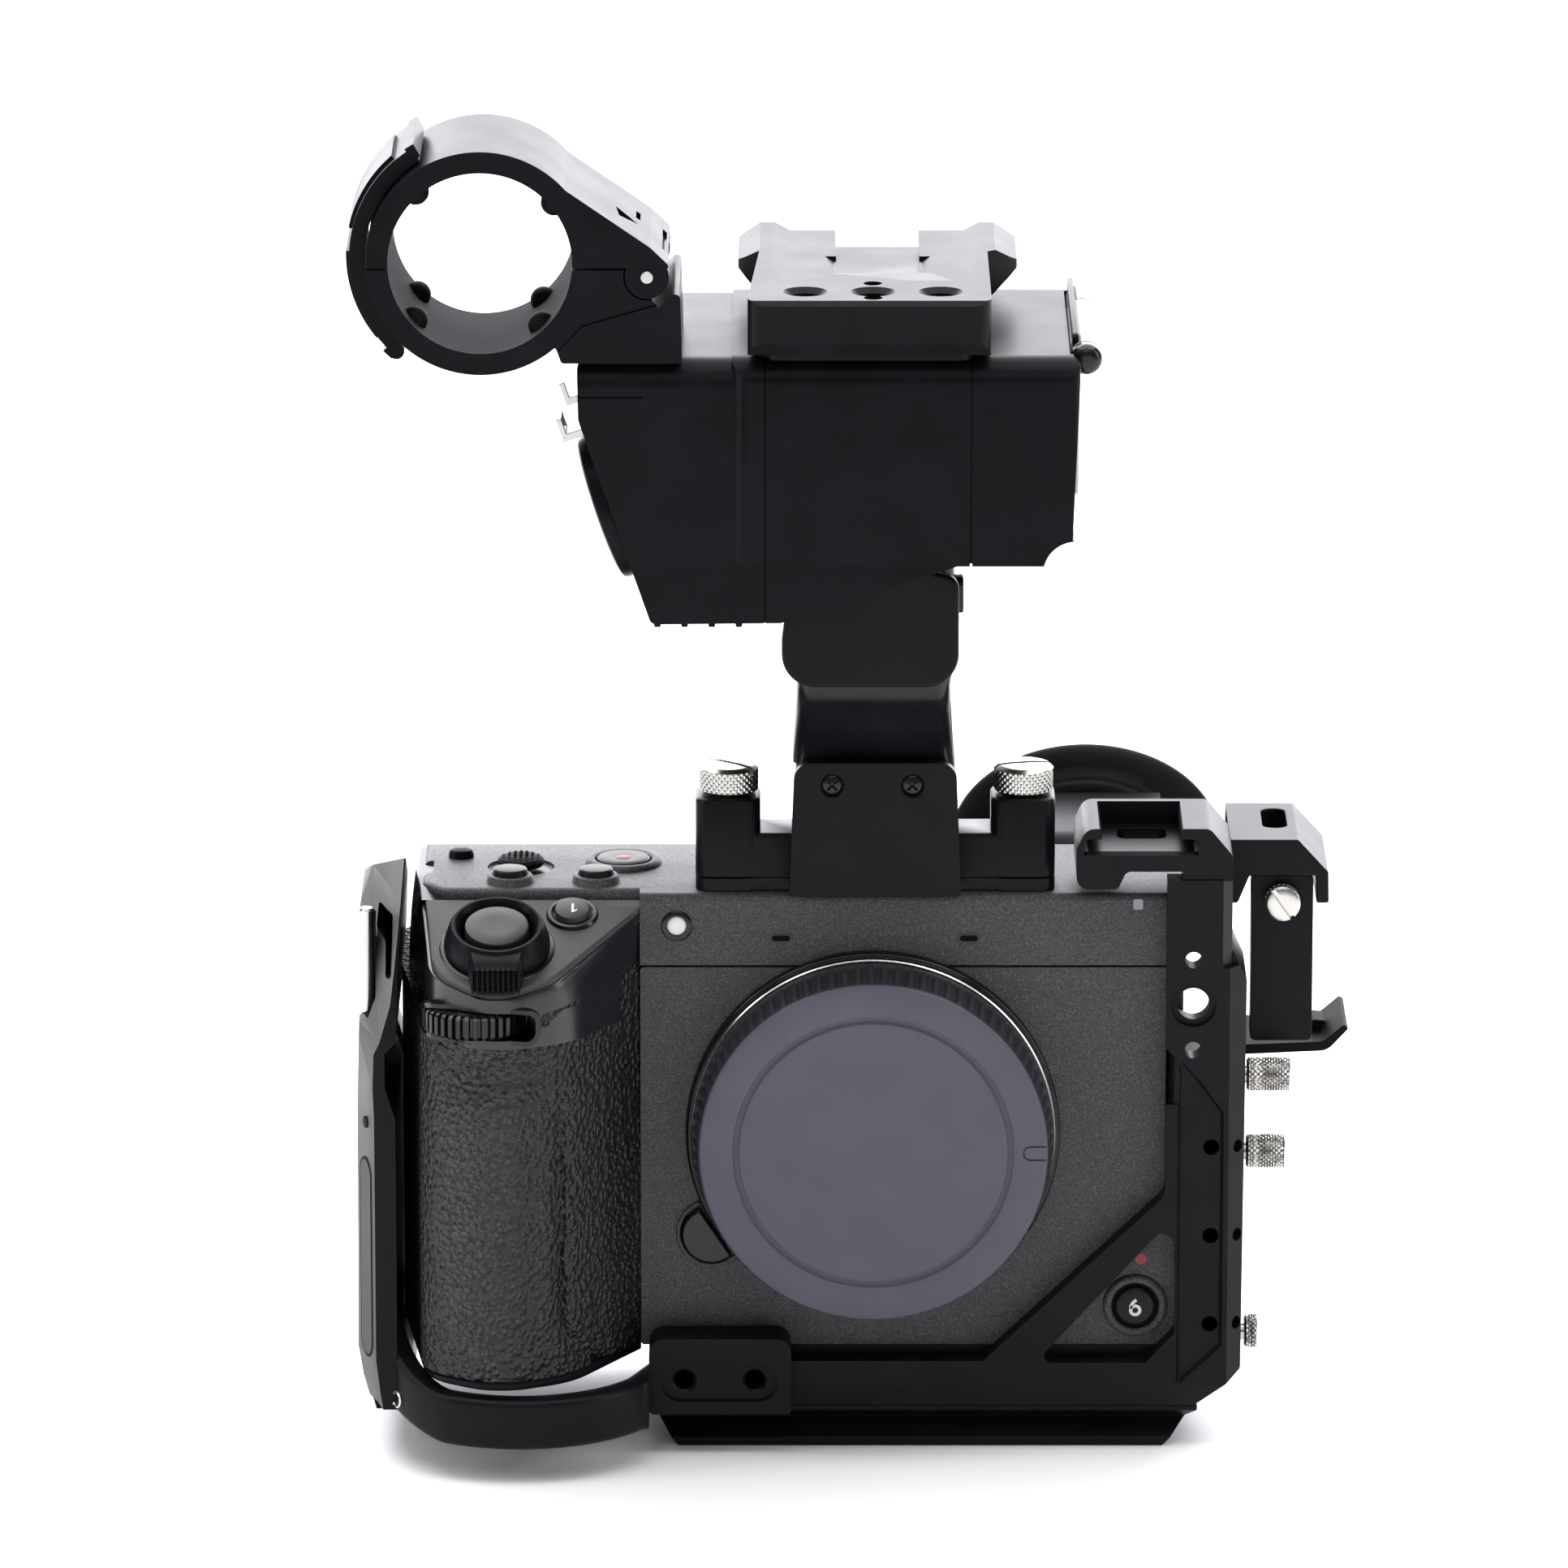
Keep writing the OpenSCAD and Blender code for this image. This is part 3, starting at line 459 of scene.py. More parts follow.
# Name, two colours, roughness, size and depth of the grain, metallic, specular and coat
FINISHES = (
    ("cage_metal", *BLACK, 0.36, 0.16, 0.004, 0.0, 0.1),
    ("black_plastic", *BLACK, 0.34, 0.3, 0.006, 0.0, 0.07),
    ("gloss_black", *BLACK, 0.22, 0.5, 0.008, 0.0, 0.3, 0.1),
    ("rubber", (0.006, 0.006, 0.0065), (0.009, 0.009, 0.010), 0.6, 0.25, 0.02, 0.0, 0.06),
    ("nickel", (0.50, 0.49, 0.46), (0.60, 0.58, 0.55), 0.26, 0.12, 0.01, 1.0),
    ("cap_plastic", (0.070, 0.071, 0.092), (0.078, 0.079, 0.102), 0.45, 0.3, 0.02, 0.0, 0.25),
    ("lamp", (0.75, 0.75, 0.73), (0.8, 0.8, 0.78), 0.3, 0.5, 0.01),
    ("clear_plastic", (0.55, 0.56, 0.58), (0.62, 0.63, 0.65), 0.16, 0.6, 0.01),
    ("shoulder", (0.007, 0.008, 0.010), (0.010, 0.0115, 0.014), 0.27, 0.6, 0.03, 0.0, 0.5),
    ("panel", (0.020, 0.020, 0.022), (0.026, 0.026, 0.028), 0.5, 0.35, 0.012, 0.0, 0.5),
    ("brushed", (0.018, 0.018, 0.019), (0.024, 0.024, 0.026), 0.42, 0.4, 0.006, 0.2, 0.4),
    ("grey_key", (0.030, 0.030, 0.033), (0.038, 0.038, 0.041), 0.45, 0.4, 0.008, 0.0, 0.3),
    ("ring_bore", (0.030, 0.030, 0.033), (0.045, 0.045, 0.050), 0.75, 0.5, 0.006, 0.0, 0.04),
    # Darker copy of the cap plastic for the cap's toothed rim: painted shade on its side
    ("cap_rim_shade", (0.022, 0.023, 0.028), (0.028, 0.029, 0.035), 0.4, 0.3, 0.02, 0.0, 0.25),
    ("dark_key", (0.005, 0.005, 0.006), (0.008, 0.008, 0.009), 0.4, 0.4, 0.008, 0.0, 0.2),
    # Darker copy of nickel, laid in the knurl valleys of the screw heads as painted shade
    ("nickel_knurl_shade", (0.17, 0.165, 0.16), (0.24, 0.23, 0.22), 0.3, 0.12, 0.01, 1.0),
    ("print", (0.65, 0.65, 0.65), (0.75, 0.75, 0.75), 0.5, 0.3, 0.004),
    ("red_print", (0.28, 0.012, 0.012), (0.36, 0.02, 0.02), 0.5, 0.3, 0.004),
    ("smoke", (0.20, 0.20, 0.24), (0.26, 0.26, 0.30), 0.12, 0.6, 0.004),
    ("glass", (0.002, 0.002, 0.003), (0.004, 0.004, 0.006), 0.06, 1.5, 0.002, 0.0, 0.5, 0.5),
    ("cast_metal", *BLACK, 0.3, 0.8, 0.02, 0.0, 0.1),
    ("gloss_metal", *BLACK, 0.22, 0.5, 0.004, 0.0, 0.3),
    ("grey_band", (0.12, 0.12, 0.13), (0.16, 0.16, 0.17), 0.3, 0.5, 0.006),
    ("display", (0.004, 0.004, 0.006), (0.007, 0.007, 0.010), 0.14, 2, 0.002, 0.0, 0.4),
    # Near-black, put into holes, a groove and a recess floor as painted shade
    ("dark", (0.001, 0.001, 0.001), (0.002, 0.002, 0.002), 0.7, 0.5, 0.004, 0.0, 0.1),
    ("circuit", (0.012, 0.06, 0.03), (0.02, 0.09, 0.05), 0.4, 0.8, 0.03),
)
MATERIALS = {row[0]: grained(*row) for row in FINISHES}
MATERIALS["body_paint"] = speckled_paint()
MATERIALS["leather"] = pebbled_leather()


# ---- stage ----

def make_camera():
    """Two metres away and 15 degrees above, aimed at the middle of the rig."""
    data = bpy.data.cameras.new("camera")
    data.lens = 275.8
    data.clip_end = 50
    camera = bpy.data.objects.new("camera", data)
    bpy.context.scene.collection.objects.link(camera)
    tilt = math.radians(15)
    aim = Vector((-0.0147, 0, 0.1072))
    camera.location = aim + Vector((0, -math.cos(tilt), math.sin(tilt))) * 2.0
    camera.rotation_euler = (math.pi / 2 - tilt, 0, 0)
    bpy.context.scene.camera = camera


def area_light(name, place, target, size, watts, colour=(1, 1, 1)):
    data = bpy.data.lights.new(name, "AREA")
    data.shape = "RECTANGLE"
    data.size, data.size_y = size
    data.energy = watts
    data.color = colour
    light = bpy.data.objects.new(name, data)
    bpy.context.scene.collection.objects.link(light)
    light.location = place
    light.rotation_euler = (Vector(target) - Vector(place)).to_track_quat("-Z", "Y").to_euler()
    light.visible_camera = False


def make_stage():
    """Pale floor and soft lights. Places, sizes and targets are metres, strengths are watts."""
    bpy.context.scene.view_settings.view_transform = "Standard"
    world = bpy.data.worlds.new("studio")
    bpy.context.scene.world = world
    world.use_nodes = True
    world.node_tree.nodes["Background"].inputs["Color"].default_value = (0.96, 0.97, 1, 1)
    world.node_tree.nodes["Background"].inputs["Strength"].default_value = 0.2
    floor = mesh_object("floor", [(-4000, -4000, -0.05), (4000, -4000, -0.05), (4000, 4000, -0.05),
                                  (-4000, 4000, -0.05)], [(0, 1, 2, 3)])
    material, nodes, links, principled, at = shader("floor", (0.93, 0.93, 0.94), 0.6, specular=0.2)
    links.new(ranged(nodes, links, noise(nodes, links, at, 60, 2), 0.55, 0.65),
              principled.inputs["Roughness"])
    floor.data.materials.append(material)
    area_light("overhead", (0, 0.35, 1.8), (0, 0.15, 0), (2.8, 2.6), 85)
    area_light("back", (0, 2.4, 1.05), (0, 0, 0.1), (4.2, 2.3), 160, (0.95, 0.95, 1))
    area_light("left", (-1.5, -0.4, 0.7), (0, 0, 0.1), (0.4, 1.2), 8)
    area_light("right", (1.5, -0.4, 0.7), (0, 0, 0.1), (0.4, 1.2), 8)
    area_light("front", (0, -1.6, 1.5), (0, 0, 0.1), (1.2, 0.8), 5)


# ---- lens mount ----

def make_body_cap():
    """Bayonet cap: toothed side, ring groove and an index mark on its face."""
    lo, hi = span("body_cap")
    centre = Vector(((lo.x + hi.x) / 2, hi.y - 4, (lo.z + hi.z) / 2))
    r = (hi.x - lo.x) / 2
    depth = centre.y - lo.y
    profile = [(0, 0.3), (r - 1.0, 0.3), (r - 0.2, 0.5), (r, 0.8), (r, 1.5), (r - 0.15, 1.7)]
    profile += [(r - 0.2, 1.9), (r - 0.55, 5.0), (r - 0.85, depth - 1.6), (r - 1.1, depth - 1.1)]
    profile += [(r - 1.25, depth - 0.5), (r - 1.5, depth - 0.15), (r - 1.85, depth)]
    profile += [(r - 5, depth), (r - 6.55, depth), (r - 6.8, depth - 0.12), (r - 6.95, depth - 0.45)]
    profile += [(r - 7.4, depth - 0.55), (r - 7.75, depth - 0.45), (r - 7.9, depth - 0.12),
                (r - 8.1, depth)]
    profile += [(r - 14, depth), (0, depth)]

    def toothed(radius, height, i):
        in_band = 1.8 < height < depth - 1.2 and radius > r - 1.5
        return radius - (0.55 if in_band and i % 6 > 2 else 0)

    cap = lathe("body_cap_shell", profile, centre, AHEAD, 504, toothed)
    mark = [(r + 1, 1.3), *arc(1.3, 90, 270, 10, (r - 4.1, 0)), (r + 1, -1.3), (r + 1, -1.0)]
    mark += [*arc(1.0, 270, 90, 10, (r - 4.1, 0)), (r + 1, 1.0)]
    mark = [(centre.x + x, centre.z + z) for x, z in mark]
    cut(cap, along_y("mark", mark, lo.y - 1, lo.y + 0.35))
    smoothed(cap, 28)
    # Faces on the toothed rim take the darker copy of the cap plastic: painted shade on the side
    for face in cap.data.polygons:
        away = math.hypot(face.center.x / MM - centre.x, face.center.z / MM - centre.z)
        face.material_index = 1 if away > r - 1.3 else 0
    stand_in(cap, "body_cap", "cap_plastic", second="cap_rim_shade")


def make_lens_mount():
    """Black stepped trim ring with the bright bayonet ring inside it."""
    lo, hi = span("lens_mount")
    centre = Vector(((lo.x + hi.x) / 2, FACE, (lo.z + hi.z) / 2))
    r = (hi.x - lo.x) / 2
    out = centre.y - lo.y
    profile = [(r - 0.75, -0.4), (r, -0.4), (r, out - 1.5), (r - 0.12, out - 1.2), (r - 0.3, out - 1.1)]
    profile += [(r - 0.35, out - 0.7), (r - 0.42, out - 0.55), (r - 0.52, out - 0.52),
                (r - 0.55, out - 0.3)]
    profile += [(r - 0.6, out - 0.2), (r - 0.75, out - 0.2), (r - 0.75, -0.4)]
    trim = turned("mount_trim", profile, centre, AHEAD, 180, 50)
    stand_in(trim, "lens_mount", "gloss_black")
    inner = [(23.05, -3.9), (23.05, out - 0.4), (23.3, out), (r - 1.0, out), (r - 0.8, out - 0.2),
             (r - 0.8, -0.4)]
    inner += [(27.9, -0.4), (27.9, -3.9), (23.05, -3.9)]
    ring = turned("bayonet_ring", inner, centre, AHEAD, 180, 40)
    stand_in(ring, "lens_mount", "nickel")


# ---- knurled screws ----

def knurled(name, r, height, centre, axis, slot_turn, count=30, top_cut=0.75, slot=1.1, slot_depth=1.5,
            flat_top=0.0):
    """Knurled head with chamfered ends and a driver slot. Heights run from the base towards the axis."""
    pitch = 2 * math.pi * r / count
    rows = int(round((height - 1.5 * top_cut) / (pitch / 4)))
    profile = [(0, 0), (r - 0.5, 0), (r - 0.1, 0.35)]
    knurl_from, knurl_to = 0.4, height - top_cut
    profile += [(r, knurl_from + (knurl_to - knurl_from) * i / rows) for i in range(rows + 1)]
    profile += [(r - 0.05, height - top_cut + 0.06), (r - top_cut * 0.8, height - 0.12),
                (r - top_cut - 0.2, height)]
    profile += [(r * 0.4, height + flat_top), (0, height + flat_top)]

    def diamonds(radius, h, i):
        if not knurl_from <= h <= knurl_to or radius < r - 1e-6:
            return radius
        a = i / 4
        u = abs(2 * ((a + h / pitch) % 1) - 1)
        v = abs(2 * ((a - h / pitch) % 1) - 1)
        return radius - 0.42 * max(u, v)

    head = lathe(name, profile, ORIGIN, UP, count * 4, diamonds)
    if slot:
        cut(head, along_z("groove", rounded_box(-r - 2, -slot / 2, r + 2, slot / 2, 0.01, 1),
                          height - slot_depth, height + 2))
    # Faces deep in the knurl's valleys take the darker nickel: painted shade in the valleys
    for face in head.data.polygons:
        away = math.hypot(face.center.x, face.center.y) / MM
        in_band = knurl_from < face.center.z / MM < knurl_to
        face.material_index = 1 if in_band and r - 0.6 < away < r - 0.27 else 0
    turn = Vector(UP).rotation_difference(Vector(axis)).to_matrix().to_4x4()
    matrix = Matrix.Translation(Vector(centre)) @ turn @ Matrix.Rotation(math.radians(slot_turn), 4, "Z")
    return smoothed(placed(head, matrix), 40)


def make_screws():
    """Thumbscrews, side knobs, cage lock screw and clamp screw: knurled heads on plain shanks."""
    for node, slot_turn in (("thumbscrew_left", -38), ("thumbscrew_right", 12)):
        lo, hi = span(node)
        x, y = (lo.x + hi.x) / 2, (lo.y + hi.y) / 2
        r = (hi.x - lo.x) / 2
        head = knurled(node + "_head", r, 4.55, (x, y, hi.z - 4.7), UP, slot_turn, flat_top=0.15)
        stand_in(head, node, "nickel", second="nickel_knurl_shade")
        shank = [(0, lo.z), (2.2, lo.z), (2.4, lo.z + 0.4), (2.4, hi.z - 4.9), (3.6, hi.z - 4.9)]
        shank += [(3.6, hi.z - 4.65), (0, hi.z - 4.65)]
        show(turned(node + "_shank", shank, (x, y, 0), UP, 48), node, "nickel")
    sides = (("side_knob_upper", 20, 7.3, 0), ("side_knob_lower", 64, 6.6, 0),
             ("cage_lock_screw", 0, 2.3, 0.9))
    for node, slot_turn, long, slot in sides:
        lo, hi = span(node)
        y, z = (lo.y + hi.y) / 2, (lo.z + hi.z) / 2
        r = (hi.z - lo.z) / 2
        start = hi.x - long
        head = knurled(node + "_head", r, hi.x - start, (start, y, z), ASIDE, slot_turn, 20, 0.35, slot,
                       0.8)
        stand_in(head, node, "nickel", second="nickel_knurl_shade")
        shank = rod(node + "_shank", (lo.x, y, z), ASIDE, 1.5, start - lo.x, 40)
        show(smoothed(shank), node, "nickel")
    lo, hi = span("clamp_screw")
    x, z = (lo.x + hi.x) / 2, (lo.z + hi.z) / 2
    r = (hi.x - lo.x) / 2
    head = knurled("clamp_screw_head", r, 2.6, (x, lo.y + 2.7, z), AHEAD, 125, 22, 0.35, 0.8, 0.8)
    stand_in(head, "clamp_screw", "nickel", second="nickel_knurl_shade")
    shank = rod("clamp_screw_shank", (x, hi.y, z), AHEAD, 1.35, hi.y - lo.y - 2.7, 40)
    show(smoothed(shank), "clamp_screw", "nickel")


# ---- grip ----

PLAN_POINTS = 260


def resampled(points, n):
    """Open line through the points, as n points at equal distances."""
    lengths = [0]
    for a, b in zip(points, points[1:]):
        lengths.append(lengths[-1] + (Vector(b) - Vector(a)).length)
    result = []
    k = 0
    for i in range(n):
        want = lengths[-1] * i / (n - 1)
        while k < len(lengths) - 2 and lengths[k + 1] < want:
            k += 1
        part = (want - lengths[k]) / max(lengths[k + 1] - lengths[k], 1e-9)
        result.append(tuple(Vector(points[k]).lerp(Vector(points[k + 1]), part)))
    return result


def grip_plan(d):
    """The grip seen from above, drawn in by d: along the body first, then round the front to the rear."""
    side = resampled([(-38.5, 20 - d), (-38.5, FACE + d)], 12)
    front = outline([(-38.5, FACE + d, 0), (-50 + d * 0.4, -42.5 + d, 15), (-62, -48.5 + d, 10),
                     (-74 + d, -41 + d, 10), (-78.3 + d, -8, 20), (-78.3 + d, 14, 3),
                     (-74 + d, 20 - d, 2)], 16)
    return side[:-1] + resampled(front, PLAN_POINTS)


def panel_plan(g):
    """The sloping panel on the grip, let out by g, in the same order as grip_plan."""
    side = resampled([(-38.5, 20), (-38.5, FACE - g)], 12)
    front = outline([(-38.5, FACE - g, 0), (-52.4 + g, -42.0 - g, 7), (-62.5, -46.8 - g, 8),
                     (-72.5 - g, -40 - g, 8), (-75.2 - g, -10, 6), (-75.2 - g, 16, 4), (-71, 20, 3)], 16)
    return side[:-1] + resampled(front, PLAN_POINTS)


def panel_height(y):
    """Height of the sloping panel, which meets the flat top of the cover."""
    top = span("front_cover")[1].z + 12.5
    return min(top, top + 7 + PANEL_RISE * y)


def leather_top(x):
    """Upper edge of the leather, which climbs beside the dial to the front cover."""
    beside = 1 / (1 + math.exp((x + 74.9) / 0.25))
    step = 1 / (1 + math.exp(-(x + 54.9) / 0.25))
    return 75.2 + 3.2 * beside + step * (4.4 + 0.22 * max(0.0, x + 55))


def front_of(x):
    """How far forward the grip reaches at x."""
    plan = grip_plan(0)
    reach = 0.0
    for (ax, ay), (bx, by) in zip(plan, plan[1:]):
        if min(ax, bx) <= x <= max(ax, bx) and abs(bx - ax) > 1e-9:
            reach = min(reach, ay + (by - ay) * (x - ax) / (bx - ax))
    return reach


def dial_slot(y0, y1):
    return along_y("slot", rounded_box(*SLOT_BOX, 6), y0, y1)


def make_grip_skin():
    """Leather skin: full in the palm, hollow under the dial, creased where the fingers end."""
    low = span("grip_skin")[0].z
    outer, inner = grip_plan(0), grip_plan(1.15)
    rows = 56

    def row(points, share, depth):
        ring = []
        for x, y in points:
            z = low + 0.9 + (leather_top(x) - low - 0.9) * share
            front = max(0.0, min(1.0, (-8 - y) / 22))
            belly = 1.0 * (1 - math.sin(math.pi * min(1, (z - low) / 52)))
            valley = 2.0 * math.exp(-((z - 69.5) / 4.5) ** 2) * math.exp(-((x + 63) / 9) ** 2)
            bend = -51.6 + 6.5 * max(0.0, (29 - z) / 12) ** 2
            crease = 1.5 * math.exp(-((x - bend) / 0.9) ** 2) / (1 + math.exp((z - 62) / 1.5))
            swell = 0.7 * math.exp(-((x - bend - 3.5) / 2.6) ** 2) * math.exp(-((z - 42) / 16) ** 2)
            away = depth * front * max(0.0, belly + valley + crease - swell)
            ring.append((x, y + away, z))
        return ring

    rings = [row(outer, i / rows, 1) for i in range(rows + 1)]
    rings += [row(inner, 1 - i / 8, 0.9) for i in range(9)]
    skin = loft("grip_leather", rings, True)
    cut(skin, dial_slot(-60, -30))
    plain_bevel(skin, 0.35, 2, 50)
    stand_in(smoothed(skin, 60), "grip_skin", "leather")
    core = loft("grip_liner", [level(grip_plan(3.2), z) for z in (low, 74.6)])
    well = [(-71.3, -28.3), (-48, -28.3), (-48, 11), (-71.3, 11)]
    cut(core, along_z("well", well, 10, 70.5))
    stand_in(smoothed(core, 40), "grip_core", "black_plastic")
    rim = loft("grip_rim", [level(grip_plan(d), z) for d, z in
                            ((1.3, 16.0), (0.7, 16.1), (0.35, 16.5), (0.35, 17.2), (1.1, 17.5))], False)
    cut(rim, along_z("well", [(-72.2, -29.2), (-47, -29.2), (-47, 11.2), (-72.2, 11.2)], 14, 19))
    show(smoothed(rim, 40), "grip_core", "black_plastic")


def make_grip_shoulder():
    """Glossy shoulder that rolls from the leather up to the panel, with the slot for the dial."""
    low, high = grip_plan(1.15), panel_plan(0.2)
    rings = []
    for i in range(15):
        t = math.pi / 2 * i / 14
        ring = []
        for (ax, ay), (bx, by) in zip(low, high):
            x = ax + (bx - ax) * (1 - math.cos(t))
            y = ay + (by - ay) * (1 - math.cos(t))
            z = 74.4 + (panel_height(by) - 0.7 - 74.4) * math.sin(t)
            ring.append((x, min(y, 19.9), z))
        rings.append(ring)
    shoulder = loft("grip_shoulder", rings)
    dial = middle("front_dial")
    well = [(0, -2.35), (9.0, -2.35), (9.0, 2.35), (0, 2.35)]
    well = lathe("well", well, (dial.x, dial.y, DIAL_Z), UP, 120)
    top = panel_height(0)
    slope = along_x("slope", [(6, top), (22.4, 90.3), (30, 88), (30, top + 6), (6, top + 6)], -80, -38)
    room = [(0, -4), (3.2, -4), (3.2, 4), (0, 4)]
    rooms = [lathe("room", room, tuple(middle(node)), UP, 48) for node in ("iso_button", "wb_button")]
    cut(shoulder, dial_slot(-60, -38.5), well, slope, *rooms)
    smoothed(shoulder, 38)
    stand_in(shoulder, "grip_top", "gloss_black", "shoulder")


def make_dial_bezel():
    """Thin frame round the dial's slot, bowed like the grip's front."""
    outer = rounded_box(-74.5, 75.1, -54.5, 81.2, 2.2, 8)
    inner = rounded_box(*SLOT_BOX, 8)
    rings = []
    for line, out in ((outer, 0.9), (outer, -0.15), (outer, -0.45), (inner, -0.45), (inner, -0.1),
                      (inner, 4.5)):
        rings.append([(x, front_of(x) + out, z) for x, z in line])
    show(smoothed(loft("dial_bezel", rings, True), 50), "grip_top", "gloss_black")


def make_grip_panel():
    """Top cover: the body's flat top, its rolled lip and the sloping panel in front of it."""
    lo, hi = span("top_cover")
    top = panel_height(0)
    left = span("front_cover")[0].x
    section = [(FACE, 82.65, 0), (FACE, top, 1.3), (7, top, 0), (22.4, 90.8, 1), (24, 87, 1),
               (24, 82.65, 0)]
    main = along_x("cover_top", outline(section, 8), left, hi.x)
    wing = outline([(left + 2, -20.9, 0), (left + 2, 20, 0), (-71.5, 20, 3), (-74.6, 16, 4),
                    (-74.6, -16.5, 3.5), (-71, -20.9, 3)], 6)
    lip = loft("cover_wing", [level(wing, z) for z in (88.5, top)])
    plain_bevel(lip, 1.3, 5, 60)
    fused(main, baked(lip))
    ex = middle("evf_body").x
    evf = along_z("evf_well", [(ex - 12.9, 13.2), (ex + 12.9, 13.2), (ex + 12.9, 30), (ex - 12.9, 30)],
                  81, 100)
    dish = lathe("dish", [(0, -1.2), (3.6, -1.2), (5.4, -0.5), (5.9, 1), (0, 1)], (-58.4, -6.8, top),
                 UP, 72)
    lug = along_z("lug", rounded_box(-76.5, -10.5, -72.9, -3.0, 0.6), 91.6, 96)
    slope = along_x("slope", [(7, top), (22.4, 90.8), (30, 88), (30, top + 6), (7, top + 6)], -80, left + 3)
    cut(main, evf, dish, lug, slope)
    bevelled(main, 0.3, 2, 40)
    stand_in(main, "top_cover", "body_paint")
    rings = []
    for grow, drop in ((-0.2, 2.2), (-0.2, 0.35), (-0.35, 0.1), (-0.8, 0.0)):
        rings.append([(x, min(y, -21.6), panel_height(min(y, -21.6)) - drop) for x, y in panel_plan(grow)])
    panel = loft("grip_panel", rings)
    show(smoothed(panel, 40), "top_cover", "body_paint", "panel")
    slots = []
    for x in MIC_SLOTS:
        ring = rounded_box(x - 1.9, 86.5, x + 1.9, 88.1, 0.75, 5)
        hole = rounded_box(x - 1.5, 86.8, x + 1.5, 87.8, 0.5, 5)
        slots.append(cut(along_y("mic_rim", ring, -24.12, -23.6), along_y("mic_hole", hole, -25, -23.95)))
    show(joined("mic_slots", slots), "top_cover", "black_plastic", "gloss_black")
    # Near-black plugs in the microphone holes: painted shade of the holes
    holes = [along_y("mic_hole_shade", rounded_box(x - 1.6, 86.7, x + 1.6, 87.9, 0.5, 4), -24.04, -23.6)
             for x in MIC_SLOTS]
    show(joined("mic_hole_shades", holes), "top_cover", "rubber", "dark")
    window = along_y("ir_window", rounded_box(42.9, 92.2, 44.5, 94.0, 0.3, 4), -24.1, -23.5)
    show(window, "top_cover", "clear_plastic", "smoke")
    lo, hi = span("tally_lamp")
    centre = ((lo.x + hi.x) / 2, FACE, (lo.z + hi.z) / 2)
    bezel = [(1.55, -0.3), (1.55, 0.1), (1.7, 0.35), (2.3, 0.35), (2.6, 0.15), (2.6, -0.3), (1.55, -0.3)]
    show(turned("tally_bezel", bezel, centre, AHEAD, 64), "top_cover", "gloss_black")
    lens = [(0, -2), (1.6, -2), (1.6, 0.0), (1.3, 0.2), (0.8, 0.3), (0, 0.33)]
    stand_in(turned("tally_lens", lens, centre, AHEAD, 48), "tally_lamp", "lamp")


# ---- controls ----

def on_panel(x, y):
    """Matrix that puts a piece drawn around Z on the sloping panel."""
    tilt = Matrix.Rotation(math.atan(PANEL_RISE), 4, "X")
    return Matrix.Translation((x, y, span("front_cover")[1].z + 19.5 + PANEL_RISE * y)) @ tilt


def numeral_one(name, size):
    """A figure 1, as flat strips around the origin."""
    s = size / 2
    bar = [(-0.13 * size, -s), (0.05 * size, -s), (0.05 * size, s), (-0.13 * size, s)]
    flag = [(-0.12 * size, s), (-0.36 * size, s * 0.55), (-0.36 * size, s * 0.28), (-0.12 * size, s * 0.66)]
    return joined(name, [along_z(name + "_bar", bar, 0, 0.05), along_z(name + "_flag", flag, 0, 0.05)])


def numeral_six(name, size):
    """A figure 6: a ring and a curved tail."""
    s = size
    ring = [(0.15 * s, 0), (0.31 * s, 0), (0.31 * s, 0.05), (0.15 * s, 0.05), (0.15 * s, 0)]
    bowl = lathe(name + "_bowl", ring, (0, -0.19 * s, 0), UP, 40)
    centre = (0.31 * s, -0.13 * s)
    tail = arc(0.62 * s, 178, 118, 14, centre) + arc(0.46 * s, 118, 178, 14, centre)
    return joined(name, [bowl, along_z(name + "_tail", tail, 0, 0.05)])


def make_shutter():
    """Zoom ring with its ribbed tab, and the flat shutter button deep inside it."""
    matrix = on_panel(-61.8, -33.7)
    ring = [(5.75, 1.2), (5.9, 3.2), (6.75, 4.75), (7.0, 4.95), (7.45, 4.95), (7.7, 4.75), (8.7, 1.6),
            (8.75, 0.5), (8.5, 0.3)]
    ring = lathe("zoom_ring", ring + [(5.75, 0.3), (5.75, 1.2)], ORIGIN, UP, 144)
    tab = loft("tab", [[(-4.1, -6.9, z), (4.1, -6.9, z), (4.6 - d, -8.2, z), (3.9 - d, -12.6 + d, z),
                        (-3.9 + d, -12.6 + d, z), (-4.6 + d, -8.2, z)]
                       for z, d in ((0.2, 0), (3.6, 0), (4.5, 0.7))])
    fused(ring, tab)
    grooves = [-3.4 + 0.85 * i for i in range(9)]
    ribs = [along_z("rib", rounded_box(x - 0.26, -13.4, x + 0.26, -11.3, 0.2, 3), 0, 6) for x in grooves]
    slope = [(-13, 3.3), (-9.2, 5.2), (-13, 5.2)]
    tops = [along_x("rib_top", slope, x - 0.26, x + 0.26) for x in grooves]
    cut(ring, joined("ribs", ribs), joined("rib_tops", tops))
    bevelled(ring, 0.15, 2, 38)
    stand_in(placed(ring, matrix), "zoom_lever", "black_plastic")
    disc = [(0, -3), (2, -3), (2, 1.5), (5.25, 1.5), (5.3, 4.3), (5.15, 4.65), (4.85, 4.8), (2.5, 4.72),
            (0, 4.7)]
    disc = turned("shutter_disc", disc, ORIGIN, UP, 120, 40)
    stand_in(placed(disc, matrix), "shutter_button", "nickel", "brushed")
    collar = [(8.2, -0.6), (9.5, -0.6), (9.5, 0.0), (9.3, 0.12), (8.2, 0.12), (8.2, -0.6)]
    collar = turned("zoom_seat", collar, ORIGIN, UP, 120)
    show(placed(collar, matrix), "top_cover", "gloss_black")


